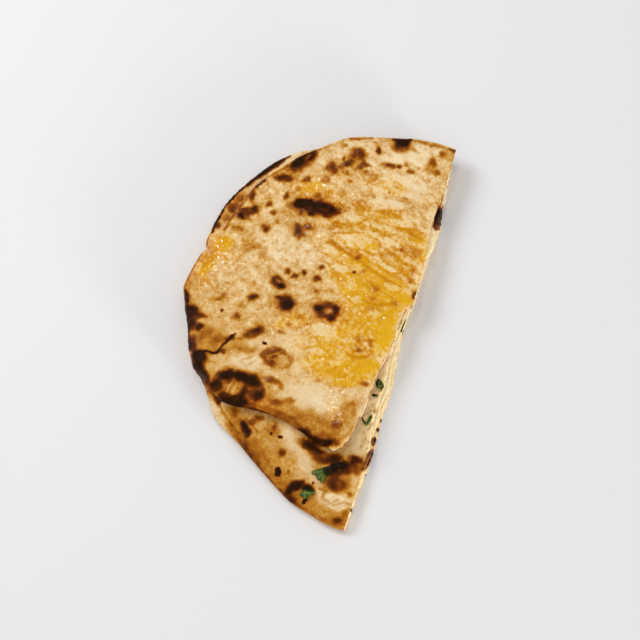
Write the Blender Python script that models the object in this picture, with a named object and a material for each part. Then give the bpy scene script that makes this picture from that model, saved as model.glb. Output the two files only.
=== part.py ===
"""A cheese naan folded over once and cut straight down one side.

The bread is one flat sheet with a layer of melted cheese inside.  The sheet is laid out flat, with
the fold along a = 0: the upper flap lies at a > 0 and the lower flap at a < 0.  `bend` then turns the
flat sheet round the fold, so that the crust outside and the cheese inside follow one another.

Units are metres, +Z up.  The naan rests on z = 0 and its box is centred on the Z axis.
"""

import math

import bmesh
import bpy
import numpy as np
from mathutils import Matrix, Vector
from mathutils.geometry import delaunay_2d_cdt

MM = 0.001

# ---------------------------------------------------------------- driving dimensions
FLAP = 6.4 * MM                  # thickness of one flap: crust, cheese, crust
FLAP_GAP = 0.9 * MM              # between the two flaps at the fold
CHEESE = 1.7 * MM                # thickness of the cheese layer
CLEARANCE = 0.3 * MM             # between the cheese and the crust round it
CHEESE_SHARE = 0.84              # outline of the cheese over that of its flap
POCKET_SHARE = 0.88              # the same for the pocket that it lies in
POCKET_REACH = 9.0 * MM          # how far the cutter for the pocket runs out of the cut

RIM_EDGE = 0.8 * MM              # half thickness left at the very rim
RIM_ROUND = 3.6 * MM             # width over which the rim rounds off
RIM_PUFF = 0.55 * MM             # the baked rim is a little fatter than the middle
PUFF_AT = 8.0 * MM
PUFF_WIDTH = 5.0 * MM
OPEN_BELOW = -58.0 * MM          # the lower flap lies open nearer than this, and its rim puffs too
RELIEF_FADE = 9.0 * MM           # blisters fade out this near to the rim
FOLD_FADE = 12.0 * MM            # and this near to the fold
SWELL_FADE = 25.0 * MM           # as do the slow swells of the upper flap

BREAD_STEP = 6.2 * MM            # spacing of the mesh on the crust
CHEESE_STEP = 9.0 * MM
RIM_ROWS = (1.1 * MM, 2.8 * MM, 5.4 * MM)  # rows of points that carry the rounding of the rim
NOSE_TURN = math.radians(30)     # angle between the rows of points round the fold
NOSE_STEP = 3.4 * MM             # spacing along those rows

LEAF_THICKNESS = 0.35 * MM
LEAF_LIFT = 0.4 * MM             # clear height under a leaf

# ---------------------------------------------------------------- outlines, in millimetres
# Outer edge of the fold, from its near end to its far end.
FOLD = ((-62.0, -42), (-62.0, -31), (-66.0, -23), (-69.5, -12), (-70.5, 2), (-72.6, 17),
        (-73.2, 24), (-68.8, 34), (-62.8, 45), (-62.4, 51), (-62.4, 64))
NEAR_END = (-58.8, -31)
FAR_END = (-59.2, 51)

UPPER_FAR_RIM = (FAR_END, (-52.4, 55.7), (-44.8, 66.7), (-37.0, 77.5), (-25.4, 88.2), (-11.3, 96.6),
                 (0.5, 101.8), (13.1, 107.0), (26.6, 108.0), (48.9, 106.6), (64.0, 103.6),
                 (73.4, 100.3))
UPPER_CUT = ((73.4, 100.3), (66.6, 77.6), (59.0, 56.2), (53.3, 34.8), (48.2, 14.2), (40.4, -1.7),
             (35.1, -15.2), (28.3, -28.8), (22.3, -45.3), (15.2, -60.0), (11.4, -65.4))
UPPER_NEAR_RIM = ((11.4, -65.4), (7.6, -66.8), (-1.5, -63.2), (-11.4, -55.9), (-23.5, -48.4),
                  (-38.5, -44.2), (-48.5, -41.6), (-55.6, -36.6), NEAR_END)

LOWER_NEAR_RIM = (NEAR_END, (-57.0, -42), (-54.4, -49.2), (-43.6, -60.6), (-31.5, -75.3), (-17.2, -91),
                  (-5.3, -99.3), (5.0, -105.2), (11.9, -107.5))
LOWER_CUT = ((11.9, -107.5), (18.0, -90.0), (23.9, -76.5), (27.6, -66.0), (32.6, -46.0), (37.6, -31.0),
             (41.6, -11.0), (44.8, 3.9), (50.2, 17.0), (53.6, 28.0), (60.0, 46.8), (64.9, 59.0),
             (66.0, 69.0), (68.5, 82.0), (71.5, 94.5))
LOWER_FAR_RIM = ((71.5, 94.5), (60.0, 99.5), (35.0, 103.0), (10.0, 104.8), (-7.4, 103.2),
                 (-18.4, 99.8), (-29.8, 92.8), (-43.2, 81.4), (-51.6, 72.0), (-57.3, 61.0), FAR_END)

# How far the bottom crust of the lower flap stands out past its top crust, along the cut: (y, reach).
CUT_LEDGE = ((-90, 0.0), (-78, 2.2), (-62, 3.9), (-48, 5.3), (-12, 5.2), (4, 1.8), (40, 1.8),
             (52, 3.6), (62, 3.6), (72, 0.8))
UPPER_LEDGE = 0.8 * MM           # the same on the upper flap, whose top crust stands out
LEDGE_FADE = 14.0 * MM           # how deep into the flap that slant reaches

# Thin lips of crust that stand out at the rim, as (x, y, radius, reach): the near rim of the lower
# flap by the fold, and the point of the upper flap.
LOWER_LIP = (-50.0, -52.0, 22.0, 4.2)
UPPER_LIP = (4.0, -66.0, 12.0, 1.6)
LIP_FLATNESS = 1.7               # above 1, a lip keeps its full reach along its middle

# Melted cheese pressed out past the cut of the upper flap: (y, half length, reach).
OOZE = (48.0, 9.0, 2.4)
CHEESE_REACH = 0.35 * MM         # how far the rest of the cheese stands out of the cut
CHEESE_WAVE = 0.25 * MM          # how much that varies
CHEESE_WAVELENGTH = 17.0 * MM
CHEESE_THINNED = 0.7             # thickness of the cheese at its edge over the rest
CHEESE_THIN_WIDTH = 0.8 * MM

# Slow swells of the upper flap, as (height, wavelength, heading in degrees, phase in degrees).
SWELLS = ((0.40, 62, 25, 0), (0.30, 47, 110, 80), (0.22, 34, 160, 200))
# Places where the upper flap lifts off the lower one: (x, y, radius, height).
LIFTS = ((16, -62, 34, 2.0), (66, 96, 40, 1.2), (20, 20, 60, 1.0), (-50, 0, 24, 0.5))
# Blisters on the crust, as (x, y, radius, height), on the upper and the lower flap.
UPPER_BLISTERS = ((-46, -21, 15, 1.1), (-18, 10, 13, 0.9), (5, 5, 12, 0.8), (0, 62, 15, 1.0),
                  (-41, 53, 11, 0.7), (-10, -50, 13, 0.8), (36, 82, 14, 0.8), (-24, -24, 10, 0.7),
                  (20, -30, 13, 0.7), (-56, 12, 9, 0.5), (48, 98, 10, 0.6), (24, 48, 16, 0.8))
LOWER_BLISTERS = ((9, -81, 13, 1.6), (-9, -90, 10, 1.0), (-22, -70, 10, 0.9), (-38, -57, 9, 0.9),
                  (8, -99, 9, 0.7))

# Loose herb leaves: name, colour, wave height, rise to the left over width, and outline in plan.
LEAVES = (
    ("leaf_large", "fresh", 0.7, 0.0, (
        (-4.8, -77.0), (-5.0, -78.2), (-2.3, -79.0), (-2.6, -80.2), (-2.2, -81.4), (-1.1, -81.8),
        (-0.5, -80.9), (-0.5, -83.0), (0.8, -83.1), (1.5, -81.4), (2.2, -79.8), (3.6, -79.3),
        (5.4, -78.5), (5.6, -76.5), (5.4, -74.3), (3.6, -74.5), (0.3, -75.2), (-2.3, -76.0))),
    ("leaf_charred", "dark", 0.7, 0.0, (
        (6.0, -78.1), (7.3, -77.3), (8.4, -75.6), (10.3, -74.9), (12.1, -75.0), (13.9, -74.4),
        (13.7, -73.6), (11.8, -72.5), (9.2, -72.0), (7.0, -72.4), (5.9, -73.4), (6.1, -75.5))),
    ("leaf_small", "fresh", 0.8, 0.0, (
        (-11.6, -88.9), (-10.5, -90.6), (-9.6, -90.2), (-8.3, -91.7), (-7.3, -91.6), (-5.9, -90.6),
        (-5.2, -89.5), (-3.2, -88.9), (-2.8, -88.0), (-4.1, -86.9), (-6.0, -85.3), (-7.8, -84.8),
        (-9.1, -85.3), (-9.8, -86.9), (-9.6, -88.0))),
    ("leaf_cut_folded", "dark", 0.6, 0.45, (
        (29.8, -27.0), (30.6, -27.8), (31.4, -28.1), (33.0, -30.5), (33.1, -31.5), (32.4, -32.8),
        (31.6, -33.7), (30.2, -33.2), (28.8, -32.1), (28.5, -30.5), (29.1, -28.6))),
    ("leaf_cut_fleck", "dark", 0.3, 0.3, (
        (26.5, -36.1), (27.3, -35.4), (28.4, -35.7), (29.7, -35.8), (29.8, -36.7), (29.2, -37.3),
        (27.1, -37.2))),
    ("leaf_cut_curved", "fresh", 0.3, 0.0, (
        (26.5, -46.2), (26.7, -48.2), (26.1, -49.9), (25.0, -51.2), (23.9, -52.3), (23.2, -52.4),
        (22.2, -51.2), (21.4, -49.6), (21.4, -48.3), (22.0, -48.3), (22.6, -50.1), (23.5, -51.0),
        (24.2, -49.6), (25.2, -47.6))),
    ("leaf_cut_thin", "dark", 0.2, 0.0, (
        (45.3, 6.0), (44.6, 5.2), (43.7, 3.2), (42.7, 1.0), (41.7, -1.6), (42.6, -1.7),
        (43.5, 0.6), (44.4, 3.2))),
)
LEAF_STEP = 1.7 * MM
LEAF_WAVELENGTH = 7.0 * MM
LEAF_FLOOR = 4.0 * MM            # a leaf bridges the fall of the rim and never hangs below this

# Black seeds baked into the crust: (x, y, length, heading), first on the lower, then on the upper flap.
LOWER_SEEDS = ((-22.8, -79.5, 2.9, 70), (-32.5, -62.0, 2.2, 20), (-8.3, -93.4, 2.8, 75))
UPPER_SEEDS = ((-28.6, -4.5, 2.2, 35), (-51.0, 13.0, 2.0, 120), (-8.5, 20.5, 2.0, 80))
SEED_SLENDER = 0.62              # width over length
SEED_RISE = 0.25                 # height of a seed's middle over the crust, over its half width

CRUST_COLOUR = (0.74, 0.50, 0.25)
CHEESE_COLOUR = (0.86, 0.72, 0.46)
LEAF_COLOURS = {"fresh": (0.10, 0.22, 0.04), "dark": (0.03, 0.06, 0.02)}

# ---------------------------------------------------------------- derived sizes
HALF = FLAP / 2
NOSE_RADIUS = (FLAP + FLAP_GAP) / 2         # of the middle of the sheet round the fold
NOSE_ARC = NOSE_RADIUS * math.pi / 2        # from the fold line to where a flap runs flat
NOSE_HEIGHT = NOSE_RADIUS + HALF            # of the centre of the fold above the table
UPPER, LOWER = 1, -1
FLAP_EDGES = {UPPER: (UPPER_FAR_RIM, UPPER_CUT, UPPER_NEAR_RIM),
              LOWER: (LOWER_FAR_RIM[::-1], LOWER_CUT[::-1], LOWER_NEAR_RIM[::-1])}


def clear_scene():
    for item in list(bpy.data.objects):
        bpy.data.objects.remove(item, do_unlink=True)


def smoothstep(value):
    value = np.clip(value, 0.0, 1.0)
    return value * value * (3 - 2 * value)


def dome(x, y, place):
    """Height of a round swelling given as (x, y, radius, height) in millimetres."""
    centre_x, centre_y, radius, height = (value * MM for value in place)
    reach = np.hypot(x - centre_x, y - centre_y) / radius
    return height * smoothstep(1 - reach)


# ---------------------------------------------------------------- outlines
def smooth_curve(points, step):
    """A Catmull-Rom curve through points in millimetres, as metres with a point every `step`."""
    knots = np.array(points, dtype=float) * MM
    knots = np.vstack((2 * knots[0] - knots[1], knots, 2 * knots[-1] - knots[-2]))
    ramp = np.linspace(0, 1, 12, endpoint=False)[:, None]
    fine = []
    for before, start, end, after in zip(knots, knots[1:], knots[2:], knots[3:]):
        curve = (2 * start + (end - before) * ramp
                 + (2 * before - 5 * start + 4 * end - after) * ramp ** 2
                 + (3 * start - before - 3 * end + after) * ramp ** 3) / 2
        fine.extend(curve)
    fine = np.array(fine + [knots[-2]])
    along = np.concatenate(([0], np.cumsum(np.linalg.norm(np.diff(fine, axis=0), axis=1))))
    count = max(2, round(along[-1] / step) + 1)
    places = np.linspace(0, along[-1], count)
    return np.column_stack([np.interp(places, along, fine[:, axis]) for axis in range(2)])


FOLD_LINE = smooth_curve(FOLD, 2 * MM)


def nose_centre(y):
    """The x of the centre of the fold's round at each y."""
    return np.interp(y, FOLD_LINE[:, 1], FOLD_LINE[:, 0]) + NOSE_RADIUS + HALF


def unfold(points, side):
    """Plan positions on one flap, as flat positions (a, y) on the sheet."""
    x, y = points[:, 0], points[:, 1]
    past = x - nose_centre(y)
    round_part = NOSE_RADIUS * np.arccos(np.clip(-past / NOSE_RADIUS, 0, 1))
    flat_part = NOSE_ARC + past
    return np.column_stack((side * np.where(past > 0, flat_part, round_part), y))


def split_round_fold(loop, flags):
    """Add points where a loop crosses the fold, so that its edges follow the round."""
    longest = NOSE_TURN * NOSE_RADIUS
    points, new_flags = [], []
    for start, end, flag in zip(loop, np.roll(loop, -1, axis=0), flags):
        near_fold = min(abs(start[0]), abs(end[0])) < NOSE_ARC
        parts = math.ceil(np.linalg.norm(end - start) / longest) if near_fold else 1
        points += [start + (end - start) * k / parts for k in range(parts)]
        new_flags += [flag] * parts
    return np.array(points), np.array(new_flags)


def sheet_outline(step):
    """The outline of the unfolded sheet, anticlockwise, and whether each edge lies on the cut."""
    stretches = ((UPPER_FAR_RIM, UPPER, False), (UPPER_CUT, UPPER, True), (UPPER_NEAR_RIM, UPPER, False),
                 (LOWER_NEAR_RIM, LOWER, False), (LOWER_CUT, LOWER, True), (LOWER_FAR_RIM, LOWER, False))
    loops = []
    cut_edges = []
    for points, side, cut in stretches:
        stretch = unfold(smooth_curve(points, step), side)[:-1]
        loops.append(stretch)
        cut_edges += [cut] * len(stretch)
    return split_round_fold(np.vstack(loops)[::-1], np.roll(cut_edges, 1)[::-1])


def cut_line(points, side):
    return unfold(smooth_curve(points, 2 * MM), side)


UPPER_CUT_LINE = cut_line(UPPER_CUT, UPPER)[::-1]
LOWER_CUT_LINE = cut_line(LOWER_CUT, LOWER)


def depth_from_cut(a, y):
    """How far a flat position lies inside the cut; less than zero outside it."""
    upper = np.interp(y, UPPER_CUT_LINE[:, 1], UPPER_CUT_LINE[:, 0]) - a
    lower = a - np.interp(y, LOWER_CUT_LINE[:, 1], LOWER_CUT_LINE[:, 0])
    return np.where(a > 0, upper, lower)


def distance_to(points, start, end):
    """The shortest distance from each point to the segments start-end."""
    run = end - start
    length = np.maximum((run ** 2).sum(axis=1), 1e-16)
    offset = points[:, None, :] - start[None, :, :]
    share = np.clip((offset * run).sum(axis=2) / length, 0, 1)
    nearest = offset - share[..., None] * run
    return np.sqrt((nearest ** 2).sum(axis=2)).min(axis=1)


def inside(points, loop):
    """Whether each point lies inside a closed loop."""
    x, y = points[:, 0][:, None], points[:, 1][:, None]
    x1, y1 = loop[:, 0], loop[:, 1]
    x2, y2 = np.roll(x1, -1), np.roll(y1, -1)
    rise = np.where(y2 == y1, 1e-12, y2 - y1)
    crossing = ((y1 > y) != (y2 > y)) & (x < (x2 - x1) * (y - y1) / rise + x1)
    return crossing.sum(axis=1) % 2 == 1


FINE_LOOP, FINE_ON_CUT = sheet_outline(3 * MM)
RIM_START = FINE_LOOP[~FINE_ON_CUT]
RIM_END = np.roll(FINE_LOOP, -1, axis=0)[~FINE_ON_CUT]


def rim_distance(points):
    """Distance of flat positions from the baked rim, leaving out the cut."""
    return distance_to(points, RIM_START, RIM_END)


def inward(loop):
    """Unit normals of an anticlockwise loop, pointing into it."""
    run = np.roll(loop, -1, axis=0) - np.roll(loop, 1, axis=0)
    normal = np.column_stack((-run[:, 1], run[:, 0]))
    return normal / np.linalg.norm(normal, axis=1)[:, None]


def filling_loop(side, share, reach):
    """Flat outline of the filling of one flap, drawn in from its rim towards the middle of the cut.

    Along the cut the outline moves out by reach(y, a).
    """
    far_rim, cut, near_rim = FLAP_EDGES[side]
    cut = smooth_curve(cut, CHEESE_STEP * 0.7)
    middle = cut[len(cut) // 2]
    rims = []
    for rim in (far_rim, near_rim):
        drawn_in = middle + share * (smooth_curve(rim, CHEESE_STEP * 0.8) - middle)
        flat = unfold(drawn_in, side)
        rims.append(flat[depth_from_cut(flat[:, 0], flat[:, 1]) > CHEESE_STEP * 0.4])
    far_rim, near_rim = rims
    low, high = sorted((near_rim[:, 1].min(), far_rim[:, 1].max()))
    flat_cut = unfold(cut, side)
    flat_cut[:, 0] += side * reach(flat_cut[:, 1], flat_cut[:, 0])
    flat_cut = flat_cut[(cut[:, 1] > low + CHEESE_STEP / 3) & (cut[:, 1] < high - CHEESE_STEP / 3)]
    loop = np.vstack((far_rim, flat_cut, near_rim))
    return loop[::-1] if side == UPPER else loop


# ---------------------------------------------------------------- the folded sheet
def swell(x, y):
    """Height of the upper flap's slow swells, never below zero."""
    total = 0.0
    for height, wavelength, heading, phase in SWELLS:
        direction = math.radians(heading)
        along = x * math.cos(direction) + y * math.sin(direction)
        wave = np.cos(2 * math.pi * along / (wavelength * MM) + math.radians(phase))
        total = total + height * MM * (1 + wave) / 2
    for place in LIFTS:
        total = total + dome(x, y, place)
    return total


def bend(flat, height):
    """Flat positions (a, y) at a height through the sheet, turned round the fold into space."""
    a, y = flat[:, 0], flat[:, 1]
    side = np.where(a >= 0, 1.0, -1.0)
    turn = np.clip(a, -NOSE_ARC, NOSE_ARC) / NOSE_RADIUS
    run = np.maximum(np.abs(a) - NOSE_ARC, 0)
    radius = NOSE_RADIUS + height
    x = nose_centre(y) - radius * np.cos(turn) + run
    z = NOSE_HEIGHT + radius * np.sin(turn)

    ledge_y, ledge_reach = np.array(CUT_LEDGE).T * MM
    ledge = np.where(side > 0, UPPER_LEDGE, np.interp(y, ledge_y, ledge_reach))
    fade = smoothstep(1 - depth_from_cut(a, y) / LEDGE_FADE)
    x = x - ledge * fade * (HALF - height) / FLAP

    z = z + np.where(side > 0, swell(x, y) * smoothstep(run / SWELL_FADE), 0)
    return np.column_stack((x, y, z))


def lip(x, y, place):
    """How far a thin lip of crust stands out at this stretch of the rim."""
    return np.minimum(LIP_FLATNESS * dome(x, y, place), place[-1] * MM)


def rounding(distance, edge):
    """Half thickness at a distance from the rim, growing from `edge` along a quarter round."""
    share = np.clip(distance / RIM_ROUND, 0, 1)
    return edge + (HALF - edge) * np.sqrt(1 - (1 - share) ** 2)


def crust_heights(flat):
    """Heights of the outer and the inner face of the sheet over the flat positions."""
    distance = rim_distance(flat)
    plan = bend(flat, 0 * distance)
    x, y = plan[:, 0], plan[:, 1]
    upper = flat[:, 0] > 0
    off_fold = smoothstep((np.abs(flat[:, 0]) - NOSE_ARC) / FOLD_FADE)
    off_rim = smoothstep(distance / RELIEF_FADE)
    in_the_open = smoothstep((OPEN_BELOW - y) / FOLD_FADE)

    thin = np.where(upper, lip(x, y, UPPER_LIP), lip(x, y, LOWER_LIP))
    lipped = rounding(distance - thin, RIM_EDGE)
    plain = rounding(distance, RIM_EDGE)
    puff = RIM_PUFF * np.exp(-((distance - thin - PUFF_AT) / PUFF_WIDTH) ** 2)
    upper_relief = puff + sum(dome(x, y, place) for place in UPPER_BLISTERS)
    lower_relief = puff * in_the_open + sum(dome(x, y, place) for place in LOWER_BLISTERS)

    outer = np.where(upper, lipped + upper_relief * off_rim * off_fold, plain)
    inner = np.where(upper, plain, lipped + lower_relief * off_rim * off_fold)
    return outer, inner


def lattice(step):
    """Points over the whole sheet: close rows round the fold, and a triangular grid on the flaps."""
    low, high = -125 * MM, 125 * MM
    rows = [(k * NOSE_TURN * NOSE_RADIUS, NOSE_STEP) for k in range(-3, 4)]
    rows += [(side * (NOSE_ARC + k * step * math.sqrt(3) / 2), step) for side in (UPPER, LOWER)
             for k in range(1, int(160 * MM / step))]
    points = []
    for number, (a, spacing) in enumerate(rows):
        start = low + (number % 2) * spacing / 2
        points += [(a, y) for y in np.arange(start, high, spacing)]
    return np.array(points)


def triangulate(loop, step, rows=()):
    """A triangle mesh of the flat region inside a loop, with rows of points along its rim."""
    cloud = [loop]
    normal = inward(loop)
    loop_end = np.roll(loop, -1, axis=0)
    for depth in rows:
        ring = loop + normal * depth
        keep = inside(ring, loop) & (distance_to(ring, loop, loop_end) > depth * 0.9)
        keep &= rim_distance(loop) < 0.4 * MM
        cloud.append(ring[keep])
    grid = lattice(step)
    margin = (rows[-1] if rows else 0) + step * 0.5
    keep = inside(grid, loop) & (distance_to(grid, loop, loop_end) > margin)
    cloud.append(grid[keep])
    points = np.vstack(cloud)
    edges = [(i, (i + 1) % len(loop)) for i in range(len(loop))]
    verts, _, faces, *_ = delaunay_2d_cdt([Vector(p) for p in points], edges, [], 1, 1e-7)
    return np.array([tuple(v) for v in verts]), faces


def closed_sheet(name, loop, step, heights, rows=()):
    """A closed folded sheet over a flat outline, with its faces at the heights given."""
    flat, faces = triangulate(loop, step, rows)
    outer, inner = heights(flat)
    return sheet_mesh(name, bend(flat, outer), bend(flat, -inner), faces)


def sheet_mesh(name, over, under, faces):
    """A closed mesh between the two faces of a sheet, which share one triangulation."""
    verts = np.vstack((over, under))
    count = len(over)
    shell = [tuple(face) for face in faces] + [tuple(count + v for v in reversed(face)) for face in faces]
    sides = {(face[i], face[(i + 1) % 3]) for face in faces for i in range(3)}
    border = [(i, j) for i, j in sides if (j, i) not in sides]
    shell += [(i, count + i, count + j, j) for i, j in sorted(border)]
    mesh = bpy.data.meshes.new(name)
    mesh.from_pydata(verts.tolist(), [], shell)
    return finish_mesh(mesh)


def finish_mesh(mesh):
    """Triangulate a mesh and turn its faces outwards."""
    work = bmesh.new()
    work.from_mesh(mesh)
    bmesh.ops.triangulate(work, faces=work.faces)
    bmesh.ops.recalc_face_normals(work, faces=work.faces)
    work.to_mesh(mesh)
    work.free()
    return mesh


def add_object(name, mesh, material=None):
    item = bpy.data.objects.new(name, mesh)
    bpy.context.scene.collection.objects.link(item)
    if material:
        mesh.materials.append(material)
    return item


def plain_material(name, colour, roughness):
    material = bpy.data.materials.new(name)
    material.use_nodes = True
    shader = material.node_tree.nodes["Principled BSDF"]
    shader.inputs["Base Color"].default_value = (*colour, 1)
    shader.inputs["Roughness"].default_value = roughness
    shader.inputs["Metallic"].default_value = 0
    return material


# ---------------------------------------------------------------- the pieces
def cheese_reach(y, a):
    """How far the cheese stands out of the cut: a little all along, more where it oozes out."""
    middle, half_length, reach = (value * MM for value in OOZE)
    ooze = reach * smoothstep(1 - np.abs(y - middle) / half_length)
    wave = CHEESE_WAVE * np.sin(2 * math.pi * y / CHEESE_WAVELENGTH)
    return CHEESE_REACH + wave + np.where(a > 0, ooze, 0)


def cheese_heights(flat):
    """The cheese thins towards the edge that shows, where it has melted back."""
    half = np.full(len(flat), CHEESE / 2)
    half[depth_from_cut(flat[:, 0], flat[:, 1]) < CHEESE_THIN_WIDTH] *= CHEESE_THINNED
    return half, half


def pocket_heights(flat):
    half = np.full(len(flat), CHEESE / 2 + CLEARANCE)
    return half, half


def make_cheese(name, side):
    loop = filling_loop(side, CHEESE_SHARE, cheese_reach)
    mesh = closed_sheet(name, loop, CHEESE_STEP, cheese_heights)
    return add_object(name, mesh, plain_material("melted_cheese", CHEESE_COLOUR, 0.35))


def make_pocket(name, side):
    """The cutter that opens one flap for its cheese, running out well past the cut."""
    loop = filling_loop(side, POCKET_SHARE, lambda y, a: POCKET_REACH)
    cutter = add_object(name, closed_sheet(name, loop, CHEESE_STEP, pocket_heights))
    cutter.hide_render = True
    cutter.display_type = "WIRE"
    return cutter


def add_boolean(target, name, operation, other):
    modifier = target.modifiers.new(name, "BOOLEAN")
    modifier.operation = operation
    modifier.solver = "EXACT"
    modifier.object = other


def make_seeds():
    """All the baked-in seeds as one helper object, each a squashed ball half sunk in the crust."""
    work = bmesh.new()
    for side, seeds in ((LOWER, LOWER_SEEDS), (UPPER, UPPER_SEEDS)):
        for x, y, length, heading in seeds:
            made = bmesh.ops.create_icosphere(work, subdivisions=1, radius=length * MM / 2)["verts"]
            bmesh.ops.scale(work, verts=made, vec=(1, SEED_SLENDER, SEED_SLENDER))
            bmesh.ops.rotate(work, verts=made, matrix=Matrix.Rotation(math.radians(heading), 3, "Z"))
            height = crust_top(x * MM, y * MM, side) + SEED_RISE * SEED_SLENDER * length * MM / 2
            bmesh.ops.translate(work, verts=made, vec=(x * MM, y * MM, height))
    mesh = bpy.data.meshes.new("seeds")
    work.to_mesh(mesh)
    work.free()
    seeds = add_object("seeds", mesh)
    seeds.hide_render = True
    seeds.display_type = "WIRE"
    return seeds


def crust_top(x, y, side):
    """Height of the top face of one flap above a plan position, away from the cut."""
    flat = unfold(np.array([[x, y]]), side)
    outer, inner = crust_heights(flat)
    height = outer if side == UPPER else -inner
    return float(bend(flat, height)[0, 2])


def make_bread():
    loop, _ = sheet_outline(BREAD_STEP * 0.85)
    mesh = closed_sheet("bread", loop, BREAD_STEP, crust_heights, rows=RIM_ROWS)
    bread = add_object("bread", mesh, plain_material("baked_crust", CRUST_COLOUR, 0.6))
    add_boolean(bread, "seeds", "UNION", make_seeds())
    add_boolean(bread, "upper_pocket", "DIFFERENCE", make_pocket("upper_pocket", UPPER))
    add_boolean(bread, "lower_pocket", "DIFFERENCE", make_pocket("lower_pocket", LOWER))
    return bread


def make_leaf(name, colour, wave, tilt, outline):
    """A thin wavy leaf that lies on the lower flap, or leans with its left side on the cut."""
    plan, faces = triangulate(np.array(outline) * MM, LEAF_STEP)
    crust = np.array([max(crust_top(x, y, LOWER), LEAF_FLOOR) for x, y in plan])
    phase = 2 * math.pi * (plan[:, 0] + 0.6 * plan[:, 1]) / LEAF_WAVELENGTH
    lift = wave * MM * (1 + np.sin(phase)) / 2 + tilt * (plan[:, 0].max() - plan[:, 0])
    under = np.column_stack((plan, crust + LEAF_LIFT + lift))
    over = under + (0, 0, LEAF_THICKNESS)
    material = plain_material(name, LEAF_COLOURS[colour], 0.5)
    return add_object(name, sheet_mesh(name, over, under, faces), material)


def centre_on_floor(items):
    """Shift every mesh alike, so that their common box stands on z = 0, centred on the Z axis."""
    depsgraph = bpy.context.evaluated_depsgraph_get()
    corners = []
    for item in items:
        if not item.hide_render:
            evaluated = item.evaluated_get(depsgraph)
            corners += [item.matrix_world @ Vector(corner) for corner in evaluated.bound_box]
    low = Vector([min(corner[axis] for corner in corners) for axis in range(3)])
    high = Vector([max(corner[axis] for corner in corners) for axis in range(3)])
    shift = Vector((-(low.x + high.x) / 2, -(low.y + high.y) / 2, -low.z))
    for item in items:
        for vertex in item.data.vertices:
            vertex.co += shift


def main():
    clear_scene()
    make_bread()
    make_cheese("cheese_upper", UPPER)
    make_cheese("cheese_lower", LOWER)
    for leaf in LEAVES:
        make_leaf(*leaf)
    centre_on_floor(list(bpy.context.scene.objects))


main()
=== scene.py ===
"""A folded cheese naan: filled flatbread with charred, blistered and buttered crust, and herb leaves.

The crust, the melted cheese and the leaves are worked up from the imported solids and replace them.
"""
import itertools
import math

import bpy
import numpy as np
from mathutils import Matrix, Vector
from mathutils.bvhtree import BVHTree
from mathutils.kdtree import KDTree


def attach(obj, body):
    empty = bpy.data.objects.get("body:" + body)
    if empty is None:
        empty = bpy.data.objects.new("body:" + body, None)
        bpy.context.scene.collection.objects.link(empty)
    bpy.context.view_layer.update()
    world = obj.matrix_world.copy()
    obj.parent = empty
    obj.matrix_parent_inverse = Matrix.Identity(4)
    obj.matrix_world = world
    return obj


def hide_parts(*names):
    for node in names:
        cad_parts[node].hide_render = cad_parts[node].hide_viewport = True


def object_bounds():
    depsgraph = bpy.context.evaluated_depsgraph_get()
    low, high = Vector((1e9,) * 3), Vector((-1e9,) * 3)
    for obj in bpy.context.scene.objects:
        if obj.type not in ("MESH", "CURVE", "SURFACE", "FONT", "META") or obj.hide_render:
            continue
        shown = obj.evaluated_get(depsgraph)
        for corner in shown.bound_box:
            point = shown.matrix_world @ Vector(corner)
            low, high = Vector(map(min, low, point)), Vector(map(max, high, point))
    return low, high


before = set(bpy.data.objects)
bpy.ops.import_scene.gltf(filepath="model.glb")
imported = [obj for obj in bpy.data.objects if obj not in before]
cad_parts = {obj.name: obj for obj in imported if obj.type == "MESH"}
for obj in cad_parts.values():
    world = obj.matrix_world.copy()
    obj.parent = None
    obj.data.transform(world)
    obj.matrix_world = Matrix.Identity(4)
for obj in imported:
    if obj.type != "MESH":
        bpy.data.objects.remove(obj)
cad_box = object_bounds()
scene = bpy.context.scene

MM = 0.001

# The photograph's view: its pixels each way, and the camera, 72 degrees above the table, in metres.
PICTURE = 640
VIEW_WIDTH = 0.3408
CAMERA_DISTANCE = 1.10
CAMERA_ANGLE = math.radians(72)
AIM = Vector((-0.00038, 0.00725, 0))
SENSOR = 36  # in mm

# The upper flap's near rim and the cut sides of both flaps in plan, in mm.
UPPER_NEAR_RIM = (
    (-58.8, -31), (-55.6, -36.6), (-48.5, -41.6), (-38.5, -44.2), (-23.5, -48.4), (-11.4, -55.9),
    (-1.5, -63.2), (7.6, -66.8), (11.4, -65.4),
)
UPPER_CUT = (
    (73.4, 100.3), (66.6, 77.6), (59, 56.2), (53.3, 34.8), (48.2, 14.2), (40.4, -1.7),
    (35.1, -15.2), (28.3, -28.8), (22.3, -45.3), (15.2, -60), (11.4, -65.4),
)
LOWER_CUT = (
    (11.9, -107.5), (18, -90), (23.9, -76.5), (27.6, -66), (32.6, -46), (37.6, -31), (41.6, -11),
    (44.8, 3.9), (50.2, 17), (53.6, 28), (60, 46.8), (64.9, 59), (66, 69), (68.5, 82), (71.5, 94.5),
)
LOWER_TOP = 6.9 * MM  # above this height, and within those lines, a point is the upper flap's
RIM_SLACK = 1.2  # how far past the lines the upper flap may reach, in mm
FOLD_EDGE = -52  # left of this, in mm, the flaps are one fold
CUT_DIRECTION = np.array((0.936, -0.352, 0))
TOWARDS_CAMERA = np.array((0, -math.cos(CAMERA_ANGLE), math.sin(CAMERA_ANGLE)))
JOINING = 4  # how firmly neighbouring spots run together
STROKES = math.radians(33)  # the slant of the wrinkles and of the brushed butter, down to the right
NOISE_TABLE = 8192
NOISE_PRIMES = (73856093, 19349663, 83492791)

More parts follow.
